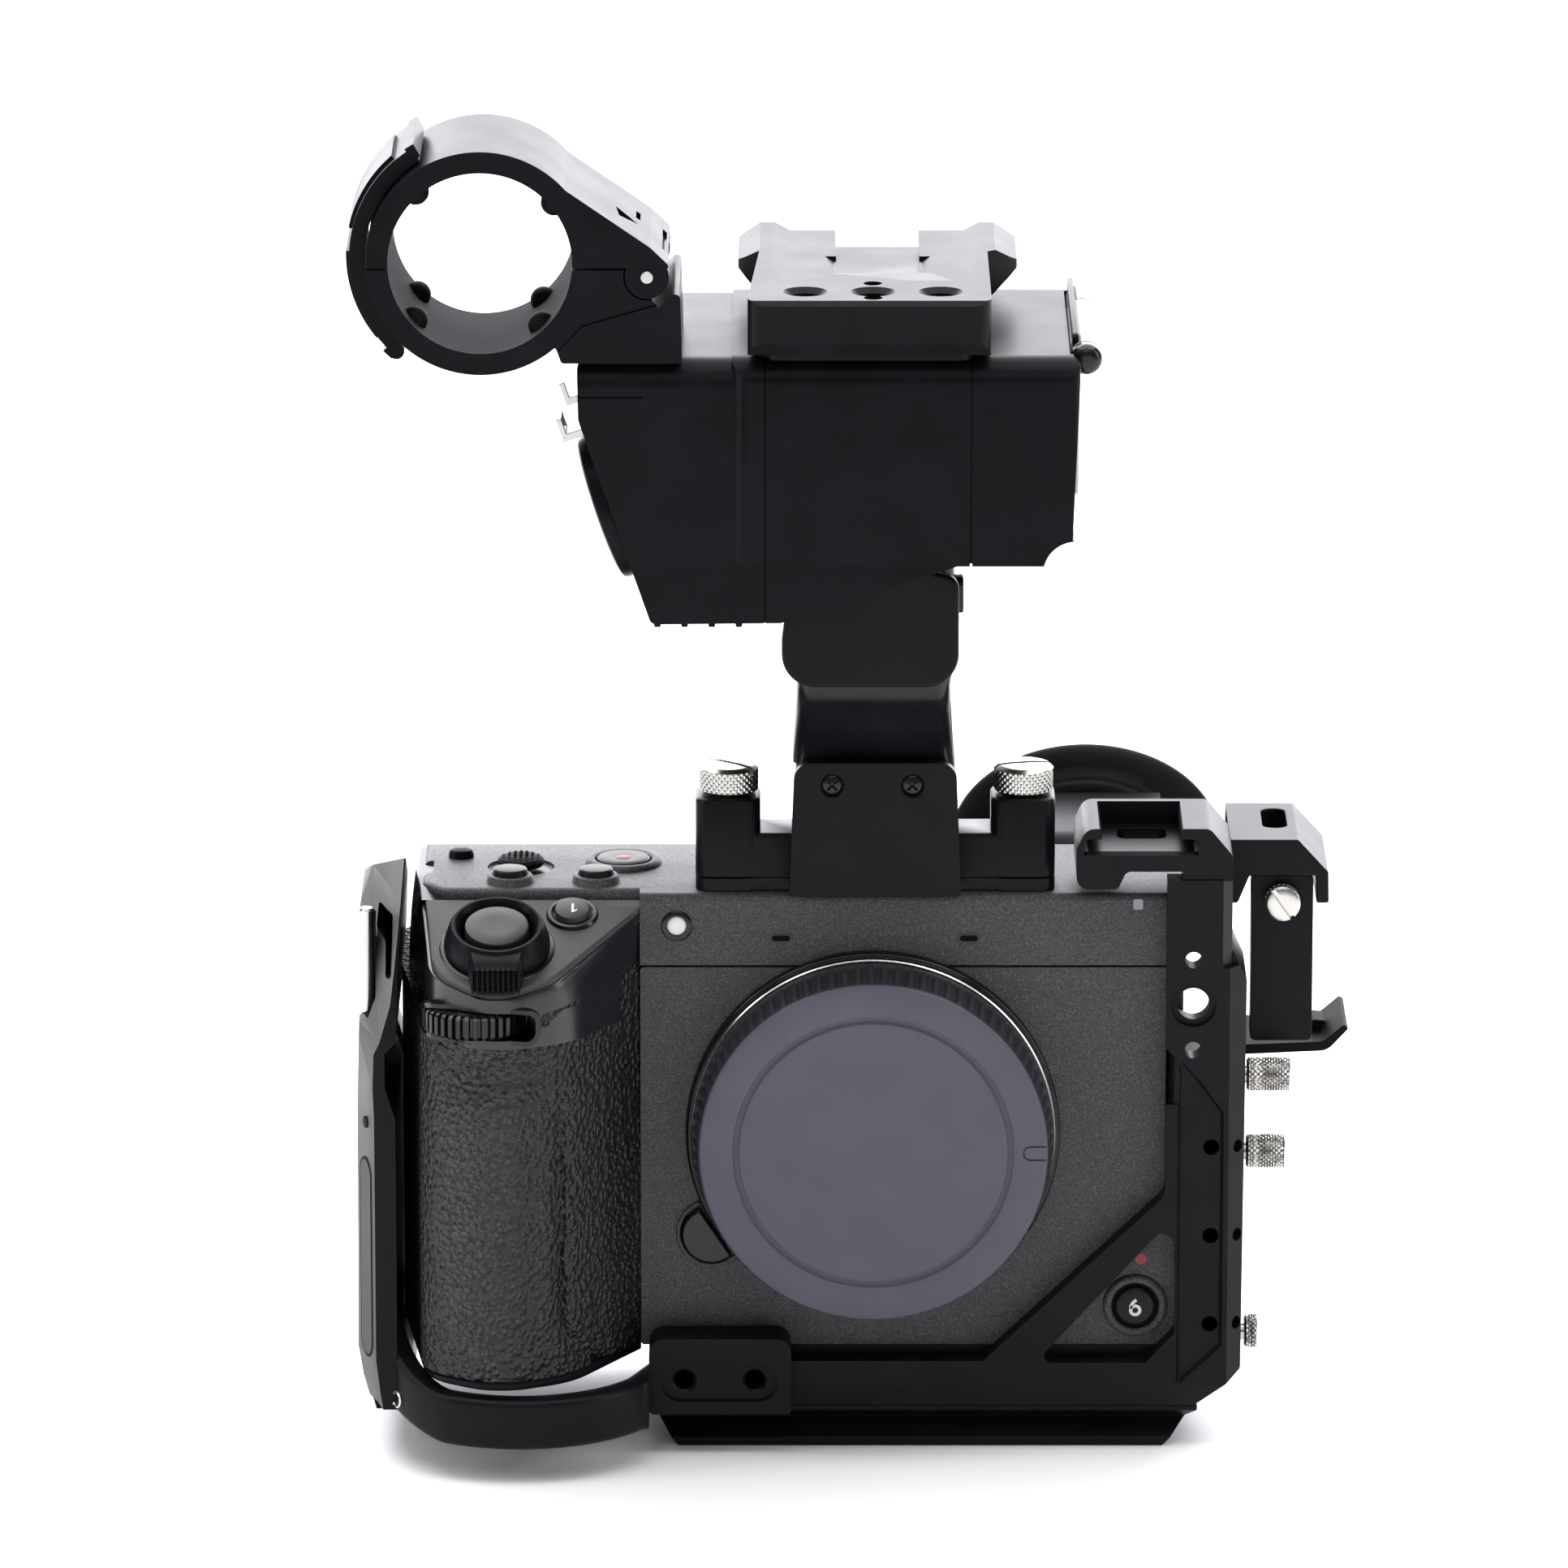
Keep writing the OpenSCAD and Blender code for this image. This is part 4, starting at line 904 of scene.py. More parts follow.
def make_panel_button():
    """Custom button 1, in its raised ring."""
    matrix = on_panel(-49.6, -25.3)
    ring = [(3.1, -0.5), (4.35, -0.5), (4.3, 0.15), (4.0, 0.5), (3.5, 0.55), (3.15, 0.35), (3.1, -0.5)]
    ring = turned("custom_ring", ring, ORIGIN, UP, 80)
    show(placed(ring, matrix), "top_cover", "gloss_black")
    key = [(0, -2.3), (2.85, -2.3), (2.85, 1.1), (2.75, 1.35), (2.5, 1.45), (0, 1.45)]
    key = turned("custom_key", key, ORIGIN, UP, 72)
    stand_in(placed(key, matrix), "custom_button", "black_plastic", "grey_key")
    mark = numeral_one("custom_mark", 2.3)
    mark = placed(mark, matrix @ Matrix.Translation((0, 0, 1.42)) @ Matrix.Rotation(math.pi, 4, "Z"))
    show(mark, "custom_button", "body_paint", "print")


def make_dial():
    """Ribbed front dial on its pin."""
    lo, hi = span("front_dial")
    x, y = (lo.x + hi.x) / 2, (lo.y + hi.y) / 2
    profile = [(0, -2.1), (7.9, -2.1), (8.4, -1.9), (8.75, -1.5), (8.75, 1.5), (8.4, 1.9), (7.9, 2.1),
               (0, 2.1)]

    def ribbed(radius, h, i):
        return radius - (0.9 if radius > 8.1 and i % 8 in (0, 1, 2) else 0)

    wheel = lathe("dial_wheel", profile, (x, y, DIAL_Z), UP, 38 * 8, ribbed)
    stand_in(smoothed(wheel, 30), "front_dial", "gloss_black")
    pin = rod("dial_pin", (x, y, lo.z), UP, 1.5, hi.z - lo.z, 32)
    show(smoothed(pin), "front_dial", "nickel")


def make_top_buttons():
    """Two pedestal buttons, the recording button with its ring, the joystick and the switch fin."""
    for node in ("iso_button", "wb_button"):
        lo, hi = span(node)
        at = ((lo.x + hi.x) / 2, (lo.y + hi.y) / 2, hi.z - 1.2)
        foot = [(0, -0.4), (4.3, -0.4), (4.0, -0.1), (3.75, 1.0), (3.5, 1.25), (3.05, 1.3), (2.95, 1.1),
                (0, 0.4)]
        foot = turned(node + "_foot", foot, at, UP, 72, 50)
        show(foot, "top_cover", "body_paint")
        key = [(0, -0.6), (2.85, -0.6), (2.85, 2.0), (2.7, 2.25), (2.4, 2.35), (0, 2.3)]
        key = turned(node + "_key", key, at, UP, 72, 50)
        stand_in(key, node, "black_plastic", "dark_key")
    lo, hi = span("rec_button")
    at = ((lo.x + hi.x) / 2, (lo.y + hi.y) / 2, hi.z - 0.9)
    ring = [(4.6, -0.4), (6.4, -0.4), (6.3, 0.3), (5.9, 0.85), (5.3, 1.0), (4.8, 0.8), (4.6, -0.4)]
    show(turned("rec_ring", ring, at, UP, 96, 50), "top_cover", "body_paint")
    key = [(0, -2), (4.4, -2), (4.4, 0.9), (4.1, 1.15), (2.0, 1.0), (0, 0.95)]
    key = turned("rec_key", key, at, UP, 96, 50)
    stand_in(key, "rec_button", "black_plastic", "grey_key")
    dot = lathe("rec_dot", [(0, 0), (1.3, 0), (1.2, 0.07), (0, 0.09)], (at[0], at[1], at[2] + 1.0), UP, 40)
    show(smoothed(dot), "rec_button", "body_paint", "red_print")
    lo, hi = span("joystick")
    x, y = (lo.x + hi.x) / 2, (lo.y + hi.y) / 2
    cap = [(0, -1.6), (1.5, -1.6), (1.6, -0.2), (3.6, 0.0), (3.9, 0.5), (3.9, 0.9), (3.5, 1.35),
           (2.4, 1.75), (0, 1.95)]
    pieces = [lathe("stick", cap, (x, y, hi.z - 2.1), UP, 64)]
    for i in range(-4, 5):
        for j in range(-4, 5):
            px, py = i * 0.95, j * 0.95
            away = math.hypot(px, py)
            if away > 3.6:
                continue
            z = hi.z - 0.55 - 0.075 * away * away
            tip = [(0.5, 0), (0, 0.5), (-0.5, 0), (0, -0.5)]
            base = [(x + px + a * 1.1, y + py + b * 1.1, z) for a, b in tip]
            crown = [(x + px + a * 0.25, y + py + b * 0.25, z + 0.75) for a, b in tip]
            pieces.append(loft("pyramid", [base, crown]))
    stand_in(joined("stick_cap", pieces), "joystick", "rubber")
    lo, hi = span("power_switch")
    rings = []
    for z, d in ((lo.z, 0), (hi.z - 1.0, 0.1), (hi.z - 0.3, 0.4), (hi.z, 1.2)):
        r = min(hi.x - lo.x, hi.y - lo.y) / 2 - d - 0.05
        rings.append(level(rounded_box(lo.x + d, lo.y + d, hi.x - d, hi.y - d, r), z))
    fin = loft("switch_fin", rings)
    stand_in(smoothed(fin), "power_switch", "black_plastic")


def make_front_buttons():
    """Lens release with its lip, and recording button 6 in its bezel."""
    lo, hi = span("front_rec_button")
    centre = ((lo.x + hi.x) / 2, FACE, (lo.z + hi.z) / 2)
    bezel = [(3.95, -0.4), (3.95, 0.5), (4.15, 0.8), (4.6, 0.9), (5.1, 0.75), (5.35, 0.25), (5.5, -0.4)]
    bezel = turned("front_rec_ring", bezel + [(3.95, -0.4)], centre, AHEAD, 96, 50)
    show(bezel, "front_cover", "body_paint")
    key = [(0, -2), (3.3, -2), (3.3, 0.5), (3.15, 0.8), (2.8, 0.92), (0, 0.9)]
    key = turned("front_rec_key", key, centre, AHEAD, 72, 50)
    stand_in(key, "front_rec_button", "black_plastic", "dark_key")
    # Near-black ring in the gap round the button: painted shade
    floor = [(3.2, -0.5), (4.1, -0.5), (4.1, 0.04), (3.2, 0.04), (3.2, -0.5)]
    show(turned("front_rec_gap_shade", floor, centre, AHEAD, 72), "front_cover", "body_paint", "dark")
    dot = [(0, -0.1), (0.9, -0.1), (0.9, 0.03), (0, 0.04)]
    dot = turned("record_dot", dot, (44.6, FACE, 31.9), AHEAD, 40)
    show(dot, "front_cover", "body_paint", "red_print")
    place = Matrix.Translation((centre[0], centre[1] - 0.9, centre[2]))
    mark = placed(numeral_six("front_rec_mark", 3.3), place @ Matrix.Rotation(math.pi / 2, 4, "X"))
    show(mark, "front_rec_button", "body_paint", "print")
    lo, hi = span("lens_release")
    mount = middle("lens_mount")
    away = Vector(((lo.x + hi.x) / 2 - mount.x, (lo.z + hi.z) / 2 - mount.z))
    turn = Matrix.Rotation(-math.atan2(away.y, away.x), 4, "Y")
    matrix = Matrix.Translation((mount.x, 0, mount.z)) @ turn
    r = away.length
    key = [(r - 3.2, -4.9), *arc(4.9, -78, 78, 28, (r - 2.3, 0)), (r - 3.2, 4.9)]
    piece = placed(along_y("release_key", key, lo.y, lo.y + 4), matrix)
    stand_in(bevelled(piece, 0.5, 3), "lens_release", "gloss_black")
    lip = [(r - 3.6, -5.9), *arc(5.9, -80, 80, 28, (r - 2.4, 0)), (r - 3.6, 5.9)]
    inner = [(r - 3.9, -5.2), *arc(5.2, -80, 80, 28, (r - 2.4, 0)), (r - 3.9, 5.2)]
    rim = cut(along_y("release_lip", lip, -24.7, -23.8), along_y("inside", inner, -26, -23))
    show(bevelled(placed(rim, matrix), 0.25), "front_cover", "body_paint")


# ---- audio module ----

def groove_frame(x, inset, width=0.36):
    """Cutter for a seam at one X that runs round everything outside the inset outline."""
    outer = along_x("outer", [(-90, 100), (30, 100), (30, 240), (-90, 240)], x - width / 2, x + width / 2)
    return cut(outer, along_x("inner", inset, x - width, x + width))


def make_housing():
    """Main box of the audio module: big top fillet, two seams, and a scooped lower corner."""
    lo, hi = span("xlr_housing")
    top = hi.z - 2.2
    plan = outline([(lo.x, 5, 2), (lo.x, -50, 2.6), (33.1, -50, 1.6), (33.1, 5, 2)], 10)
    front = [*arc(2.6, 180, 270, 8, (lo.x + 2.6, lo.z + 2.6)), (27.2, lo.z),
             *arc(5.2, 165, 92, 14, (32.4, 155.8)), (31.9, 161.2), (33.1, top - 1.2), (31.9, top),
             (lo.x, top)]
    side = outline([(-50, lo.z, 0), (-50, top, 4.2), (5, top, 3), (5, lo.z, 0)], 14)
    box = common(along_z("housing", plan, lo.z - 3, top + 3), along_y("front", front, -60, 20),
                 along_x("side", side, -40, 50))
    inset = outline([(-49.6, lo.z + 0.4, 0), (-49.6, top - 0.4, 3.8), (4.6, top - 0.4, 2.6),
                     (4.6, lo.z + 0.4, 0)], 14)
    bay = along_x("bay", outline([(-45, 166, 2), (1, 166, 2), (1, 188, 2), (-45, 188, 2)]), 28.4, 40)
    hinge = rod("hinge", (COVER_HINGE[0], -45.2, COVER_HINGE[1]), BACK, 3, 46.4)
    dials = rod("wells", (26.8, -38, 177), BACK, 4.9, 32, 64)
    cut(box, groove_frame(-17.8, inset), groove_frame(15.5, inset), bay, hinge, dials)
    bevelled(box, 0.28, 2, 30)
    stand_in(box, "xlr_housing", "black_plastic")
    plate = outline([(-40.5, 186, 0.6), (2.4, 186, 0.6), (2.4, hi.z, 1), (-40.5, hi.z, 1)])
    show(bevelled(along_x("hinge_plate", plate, 31.9, 32.9), 0.25), "xlr_housing", "black_plastic")
    switches = []
    for i, y in enumerate((-41, -26, -10.5)):
        seat = rounded_box(y - 1.6, 168.6, y + 1.6, 172.4, 0.6)
        key = rounded_box(y - 0.8, 169 + 0.9 * i, y + 0.8, 170.2 + 0.9 * i, 0.3)
        switches += [along_x("switch_seat", seat, 28.3, 28.9), along_x("switch", key, 28.8, 30.2)]
    show(bevelled(joined("input_switches", switches), 0.2), "xlr_housing", "black_plastic", "gloss_black")


def socket_place(y):
    """Matrix that puts a socket drawn around Z on the slanted face."""
    return Matrix.Translation((-42.2, y, 164)) @ Matrix.Rotation(math.radians(-109.15), 4, "Y")


def make_side_module():
    """Slanted socket block and the wedge that carries it, with a seam, a ledge line and ribs underneath."""
    lo, hi = span("xlr_side")
    front = outline([(lo.x, hi.z, 1.6), (lo.x + 0.2, 180.9, 0), (-36.2, lo.z, 1.2), (-15.2, lo.z + 0.2, 0),
                     (14, 156.9, 0), (14, 157.2, 0), (-20.6, 157.2, 0), (-20.6, hi.z, 0)], 8)
    side = outline([(lo.y, lo.z - 2, 0), (lo.y, hi.z, 4.5), (hi.y, hi.z, 2), (hi.y, lo.z - 2, 0)], 14)
    block = common(along_y("socket_block", front, lo.y - 5, hi.y + 5), along_x("side", side, -60, 40))
    inset = [(lo.y + 0.4, 140), (lo.y + 0.4, hi.z - 0.4), (hi.y - 0.4, hi.z - 0.4), (hi.y - 0.4, 140)]
    line = [(-49, 184.9), (-37.4, 184.9), (-37.4, 184.5), (-49, 184.5)]
    cutters = [groove_frame(-17.8, inset), along_y("line", line, lo.y - 1, lo.y + 0.35)]
    for y in SOCKETS:
        bore = lathe("bore", [(0, -13), (10.5, -13), (10.5, 7), (0, 7)], ORIGIN, UP, 72)
        notch = along_z("notch", rounded_box(12, -3.9, 15, 3.9, 0.3, 2), -2.6, 6)
        cutters += [placed(bore, socket_place(y)), placed(notch, socket_place(y))]
    cut(block, *cutters)
    bevelled(block, 0.3, 2, 30)
    stand_in(block, "xlr_side", "black_plastic")
    ribs = []
    for x in [-35.2 + 4.4 * i for i in range(4)]:
        rib = [(x - 0.7, lo.z + 0.3), (x - 0.5, lo.z - 1.1), (x + 0.5, lo.z - 1.1), (x + 0.7, lo.z + 0.3)]
        ribs.append(along_y("rib", rib, -46.5, -12))
    show(bevelled(joined("socket_ribs", ribs), 0.15), "xlr_side", "black_plastic")


def make_jacks():
    """Socket flanges with a bright contact ring, an insulator face and three contact holes."""
    sockets, contacts = [], []
    for y in SOCKETS:
        matrix = socket_place(y)
        flange = [(9.6, -12), (9.6, 1.6), (9.9, 2.1), (10.4, 2.4), (11.3, 2.4), (11.8, 2.1), (12, 1.4),
                  (12, 0.05), (10.4, 0), (10.4, -12), (9.6, -12)]
        socket = lathe("socket", flange, ORIGIN, UP, 96)
        core = [(0, -12.8), (10.3, -12.8), (10.3, -11), (7.2, -11), (7.2, -1.4), (6.8, -1), (0, -1)]
        core = lathe("core", core, ORIGIN, UP, 96)
        turns = [math.radians(t) for t in (90, 180, 270)]
        pins = [(4 * math.cos(t), 4 * math.sin(t), 0) for t in turns]
        cut(core, *[lathe("hole", [(0, -4), (1.35, -4), (1.35, 0), (0, 0)], pin, UP, 32) for pin in pins])
        ring = [(1.0, -3), (1.3, -3), (1.3, -1.02), (1.0, -1.02), (1.0, -3)]
        contacts += [placed(lathe("contact", ring, pin, UP, 32), matrix) for pin in pins]
        sockets += [placed(socket, matrix), placed(core, matrix)]
    stand_in(smoothed(joined("sockets", sockets), 40), "xlr_jacks", "black_plastic")
    show(smoothed(joined("contacts", contacts), 40), "xlr_jacks", "nickel")


def make_audio_cover():
    """Clear cover with its banded hinge barrel."""
    lo, hi = span("audio_cover")
    pane = outline([(lo.y, 167, 3), (hi.y, 167, 3), (hi.y, 188.8, 0.5), (lo.y, 188.8, 0.5)], 8)
    stand_in(bevelled(along_x("cover_pane", pane, 32.1, 33), 0.3), "audio_cover", "clear_plastic")
    bands = ((lo.y, -41.5, "gloss_black"), (-41.3, -36.2, "grey_band"), (-36, -10, "clear_plastic"),
             (-9.8, hi.y, "grey_band"))
    for i, (y0, y1, slot) in enumerate(bands):
        nose = 1.6 if i == 0 else 0.3
        roll = [(0, 0), *arc(nose, 270, 360, 6, (2.55 - nose, nose)), (2.55, y1 - y0 - 0.3),
                (2.2, y1 - y0), (0, y1 - y0)]
        barrel = turned("cover_barrel_%d" % i, roll, (COVER_HINGE[0], y0, COVER_HINGE[1]), BACK, 48, 40)
        show(barrel, "audio_cover", "clear_plastic", slot)


def make_levels():
    """Two knurled level dials on their shaft."""
    lo, hi = span("level_dials")
    x, z = (lo.x + hi.x) / 2, (lo.z + hi.z) / 2
    wheels = []
    profile = [(0, -3), (3.9, -3), (4.4, -2.6), (4.4, 2.6), (3.9, 3), (0, 3)]

    def ribbed(radius, h, i):
        return radius - (0.35 if radius > 4 and i % 5 < 2 else 0)

    for y in (-34, -18):
        wheels.append(lathe("level", profile, (x, y, z), BACK, 180, ribbed))
    wheels.append(rod("shaft", (x, lo.y, z), BACK, 1.5, hi.y - lo.y, 32))
    stand_in(smoothed(joined("levels", wheels), 35), "level_dials", "black_plastic", "gloss_black")


# ---- top plate and microphone clamp ----

def make_top_plate():
    """Accessory plate: a sunk tray between raised edges, the shoe slot behind it, and side gussets."""
    lo, hi = span("top_plate")
    foot = along_z("top_plate_metal", rounded_box(-17.6, -50, 15.6, 3, 2.5, 8), lo.z, lo.z + 3.6)
    plan = outline([(-20.7, lo.y, 2.6), (18.6, lo.y, 2.6), (18.4, 6, 0.8), (-17.6, 6, 0.8)], 8)
    side = [(-51.6, 192.3), (-54, 194.6), (-54, 200.8), (-53.2, 201.6), (6, 201.6), (6, 192.3)]
    main = common(along_z("plate", plan, 190, 205), along_x("side", side, -40, 40))
    wings = []
    for x0, x1 in ((-17.2, lo.x), (17.9, hi.x)):
        away = 1 if x1 > x0 else -1
        plan = [(x0, -17), (x1 - away * 1.2, -13.4), (x1, -11.6), (x1, 5.2), (x1 - away * 0.8, 6), (x0, 6)]
        face = [(x0, 193.6), (x0 + away * 1.5, 194.2), (x1, 197.8), (x1, 199.2), (x1 - away * 3.6, 201.6),
                (x0, 201.6)]
        wings.append(common(along_z("wing", plan, 190, 205), along_y("face", face, -30, 20)))
    fused(main, foot, *wings)
    x = 0.6
    slot = [(x - 9.4, 197.4), (x + 9.4, 197.4), (x + 9.4, 199.6), (x - 9.4, 199.6)]
    mouth = [(x - 6.8, 199.3), (x + 6.8, 199.3), (x + 6.8, 204), (x - 6.8, 204)]
    cutters = [along_y("slot", slot, -11, 9), along_y("mouth", mouth, -22, 9)]
    tray = [[(-16.8, -39, 201.9), (18.0, -39, 201.9), (18.0, 9, 201.9), (-16.8, 9, 201.9)],
            [(-13.6, -36, 200.2), (14.8, -36, 200.2), (14.8, 9, 200.2), (-13.6, 9, 200.2)]]
    rest = [[(x - 9.0, -27, 200.4), (x + 9.0, -27, 200.4), (x + 9.0, -14, 200.4), (x - 9.0, -14, 200.4)],
            [(x - 6.8, -24, 199.3), (x + 6.8, -24, 199.3), (x + 6.8, -14, 199.3), (x - 6.8, -14, 199.3)]]
    cutters += [loft("tray", tray), loft("rest", rest)]
    thread = [(0, 193), (2.65, 193), (2.65, 200.7), (3.7, 201.7), (0, 201.7)]
    cutters += [lathe("thread", thread, (hx, -46.5, 0), UP, 48) for hx in (-11.3, -0.4, 10.5)]
    pin_hole = [(0, 196), (1.5, 196), (1.5, 202), (0, 202)]
    cutters += [lathe("pin_hole", pin_hole, (-0.4, y, 0), UP, 32) for y in (-51, -40.5)]
    cut(main, *cutters)
    bevelled(main, 0.4, 3, 28)
    stand_in(main, "top_plate", "cage_metal")


def make_clamp_pads():
    """Eight rubber balls inside the clamp ring, four on each half."""
    centre = Vector(RING)
    steps = [math.radians(a) for a in range(0, 181, 12)]
    ball = [(2.2 * math.sin(a), -2.2 * math.cos(a)) for a in steps]
    stem = [(0, 0), (1.5, 0), (1.2, 1.6), (0, 1.6)]
    for node, angles in (("mic_upper", (37, 134)), ("mic_base", (224, 311))):
        balls = []
        for angle in angles:
            for y in (-44.5, -26):
                t = math.radians(angle)
                place = (centre.x + 14.9 * math.cos(t), y, centre.y + 14.9 * math.sin(t))
                balls.append(lathe("ball", ball, place, BACK, 32))
                balls.append(lathe("stem", stem, place, (math.cos(t), 0, math.sin(t)), 24))
        show(smoothed(joined(node + "_balls", balls), 60), node, "rubber")


def make_latch():
    """Bowed latch with a raised rib down its back and a finger hook at each end."""
    lo, hi = span("mic_latch")
    band = arc(21.1, 121, 228, 60, RING) + arc(18.6, 228, 121, 60, RING)
    latch = along_y("latch_band", band, lo.y, hi.y)
    rib = arc(21.7, 131, 168, 24, RING) + arc(20.5, 168, 131, 24, RING)
    lower = arc(21.7, 178, 219, 24, RING) + arc(20.5, 219, 178, 24, RING)
    hook = arc(21.6, 119.5, 124, 6, RING) + arc(19.3, 124, 119.5, 6, RING)
    heel = arc(21.9, 224, 229, 6, RING) + arc(19.3, 229, 224, 6, RING)
    parts = [along_y("rib", rib, lo.y + 2.5, hi.y - 2.5), along_y("lower", lower, lo.y + 2.5, hi.y - 2.5),
             along_y("hook", hook, lo.y, hi.y), along_y("heel", heel, lo.y, hi.y)]
    pivot = rod("pivot", (-77.1, lo.y, 191.6), BACK, 1.3, hi.y - lo.y, 32)
    fused(latch, *parts, pivot)
    bevelled(latch, 0.35, 2, 30)
    stand_in(latch, "mic_latch", "black_plastic")


def hinge_at(y):
    return (CLAMP_HINGE[0], y, CLAMP_HINGE[1])


def mark_bore(obj):
    """Marks the inside of the clamp ring for show()'s second finish."""
    for face in obj.data.polygons:
        away = math.hypot(face.center.x / MM - RING[0], face.center.z / MM - RING[1])
        face.material_index = 1 if away < 15 and abs(face.normal.y) < 0.5 else 0


def make_clamp():
    """Both halves of the clamp, with the arm, its notch, the hinge knuckles and the mounting block."""
    y0, y1 = span("mic_base")[0].y, span("mic_base")[1].y
    arm = [(-33.1, 204.7, 0), (-33.3, 206.8, 1), (-36.2, 209.6, 2.5), (-56.5, 223.6, 0), (-60, 206.2, 0),
           (-40, 206.2, 0)]
    upper = fused(along_y("upper", circle(18.3, 144, RING), y0, y1),
                  along_y("arm", outline(arm, 8), y0, y1))
    below = along_y("below", [(-95, 206.2), (-20, 206.2), (-20, 180), (-95, 180)], y0 - 2, y1 + 2)
    cut(upper, below, along_y("ring_cut", circle(14.8, 144, RING), y0 - 2, y1 + 2))
    knuckles = [rod("knuckle", hinge_at(y), BACK, 3.55, 7.8, 64) for y in (y0, y1 - 7.8)]
    fused(upper, *knuckles)
    bore = rod("bore", hinge_at(-56), BACK, 1.1, 40, 32)
    gap = rod("gap", hinge_at(-42.2), BACK, 3.9, 14.4, 64)
    notch = along_z("notch", [(-41.8, y0 + 13.5), (-38.2, y0 + 11.2), (-41.2, y0 + 8.6)], 207.5, 220)
    slit = along_z("slit", rounded_box(-38.6, y0 + 15, -37.9, y0 + 20, 0.2, 2), 209, 220)
    cut(upper, gap, bore, notch, slit)
    bevelled(upper, 0.4, 2, 30)
    mark_bore(upper)
    stand_in(upper, "mic_upper", "black_plastic", second="ring_bore")
    block = [(-51.2, 206, 0), (-40, 206, 0), (-34.8, 199.6, 0), (-31.4, 203.0, 0.8), (-31.1, 190.5, 0.6),
             (-50.5, 190.5, 0.6), (-51.5, 193.4, 0.8), (-58, 191.2, 0)]
    base = fused(along_y("base", circle(18.3, 144, RING), y0, y1),
                 along_y("block", outline(block, 5), y0, y1))
    above = along_y("above", [(-95, 205.8), (-20, 205.8), (-20, 230), (-95, 230)], y0 - 2, y1 + 2)
    cut(base, above, along_y("ring_cut", circle(14.8, 144, RING), y0 - 2, y1 + 2))
    gaps = [rod("gap", hinge_at(y), BACK, 3.8, 9.9, 64) for y in (y0 - 2, y1 - 7.9)]
    step = [(-47.2, 196.9), (-34.6, 200.6), (-34.6, 200.2), (-47.2, 196.5), (-51, 192.3), (-51.2, 192.6)]
    cut(base, *gaps, along_y("step", step, y0 - 1, y0 + 0.45))
    fused(base, rod("ear", hinge_at(-41.9), BACK, 3.3, 13.8, 64))
    cut(base, rod("bore", hinge_at(-56), BACK, 1.1, 40, 32))
    bevelled(base, 0.4, 2, 30)
    mark_bore(base)
    stand_in(base, "mic_base", "black_plastic", second="ring_bore")


# ---- top handle ----

def rounded_tower(name, x0, y0, x1, y1, z0, z1, r, top=0.9):
    """Upright block with rounded corners and a rounded top edge."""
    rings = []
    for z, d in ((z0, 0), (z1 - top, 0), (z1 - top * 0.6, top * 0.1), (z1 - top * 0.25, top * 0.4),
                 (z1, top)):
        rings.append(level(rounded_box(x0 + d, y0 + d, x1 - d, y1 - d, r - d * 0.5, 8), z))
    return loft(name, rings)


def make_foot():
    """Cast foot of the handle: two towers for the thumbscrews on a skirt with a seam."""
    lo, hi = span("handle_foot")
    foot = rounded_tower("foot_casting", lo.x + 2, -22.0, hi.x - 2, -12, 94.8, 104.6, 2.2, 0.6)
    parts = [rounded_tower("left", -29.3, -22.4, -18.6, -11.6, 94.8, 110.5, 2.4, 0.7),
             rounded_tower("right", 19.4, -22.4, 30.0, -11.6, 94.8, 110.5, 2.4, 0.7),
             rounded_tower("middle", -12.8, -24.5, 13.4, 8, 94.8, 117, 3, 0.4)]
    fused(foot, *parts)
    seam = loft("seam", [level(rounded_box(-31, -24.2, 32, -9.8, 3), z) for z in (97.0, 97.35)])
    keep = loft("keep", [level(rounded_box(-28.9, -21.7, 29.6, -12.3, 2), z) for z in (96, 98)])
    holes = [lathe("hole", [(0, 92), (2.5, 92), (2.5, 112), (0, 112)], (x, -17, 0), UP, 48)
             for x in FOOT_HOLES]
    cut(foot, cut(seam, keep), *holes)
    smoothed(foot, 32)
    stand_in(foot, "handle_foot", "cage_metal", "cast_metal")


def make_foot_cover():
    """Flat cover with soft edges on the front of the foot, held by two cross-head screws."""
    lo, hi = span("foot_cover")
    face = outline([(lo.x, lo.z, 0.5), (hi.x, lo.z, 0.5), (hi.x - 0.9, hi.z, 3), (lo.x + 0.9, hi.z, 3)], 10)
    cover = along_y("foot_plate", face, lo.y, hi.y)
    places = [(x, hi.y, 114.1) for x in COVER_SCREWS]
    sink = [(0, -2), (1.75, -2), (1.75, 2.0), (2.1, 2.7), (0, 2.7)]
    cut(cover, *[lathe("sink", sink, place, AHEAD, 40) for place in places])
    stand_in(bevelled(cover, 0.8, 4, 50), "foot_cover", "cage_metal")
    screw = [(0, -5), (1.05, -5), (1.05, 0.1), (1.7, 0.1), (1.7, 1.9), (1.2, 2.2), (0, 2.3)]
    screws = []
    for place in places:
        arms = []
        for turn in (45, 135):
            bar = along_z("bar", rounded_box(-1.15, -0.2, 1.15, 0.2, 0.1, 2), 1.3, 3)
            matrix = Matrix.Translation(place) @ Matrix.Rotation(math.pi / 2, 4, "X")
            arms.append(placed(bar, matrix @ Matrix.Rotation(math.radians(turn), 4, "Z")))
        screws.append(cut(lathe("screw", screw, place, AHEAD, 48), *arms))
    stand_in(smoothed(joined("foot_screws", screws), 35), "handle_screws", "cage_metal", "gloss_metal")


def make_finder_pocket():
    """Back wall of the finder's pocket, seen when the finder is tilted up."""
    x = middle("evf_body").x
    wall = along_y("finder_pocket", rounded_box(x - 13.4, 68, x + 13.4, 80.2, 1), 19.1, 20.1)
    show(bevelled(wall, 0.2), "rear_cover", "black_plastic")


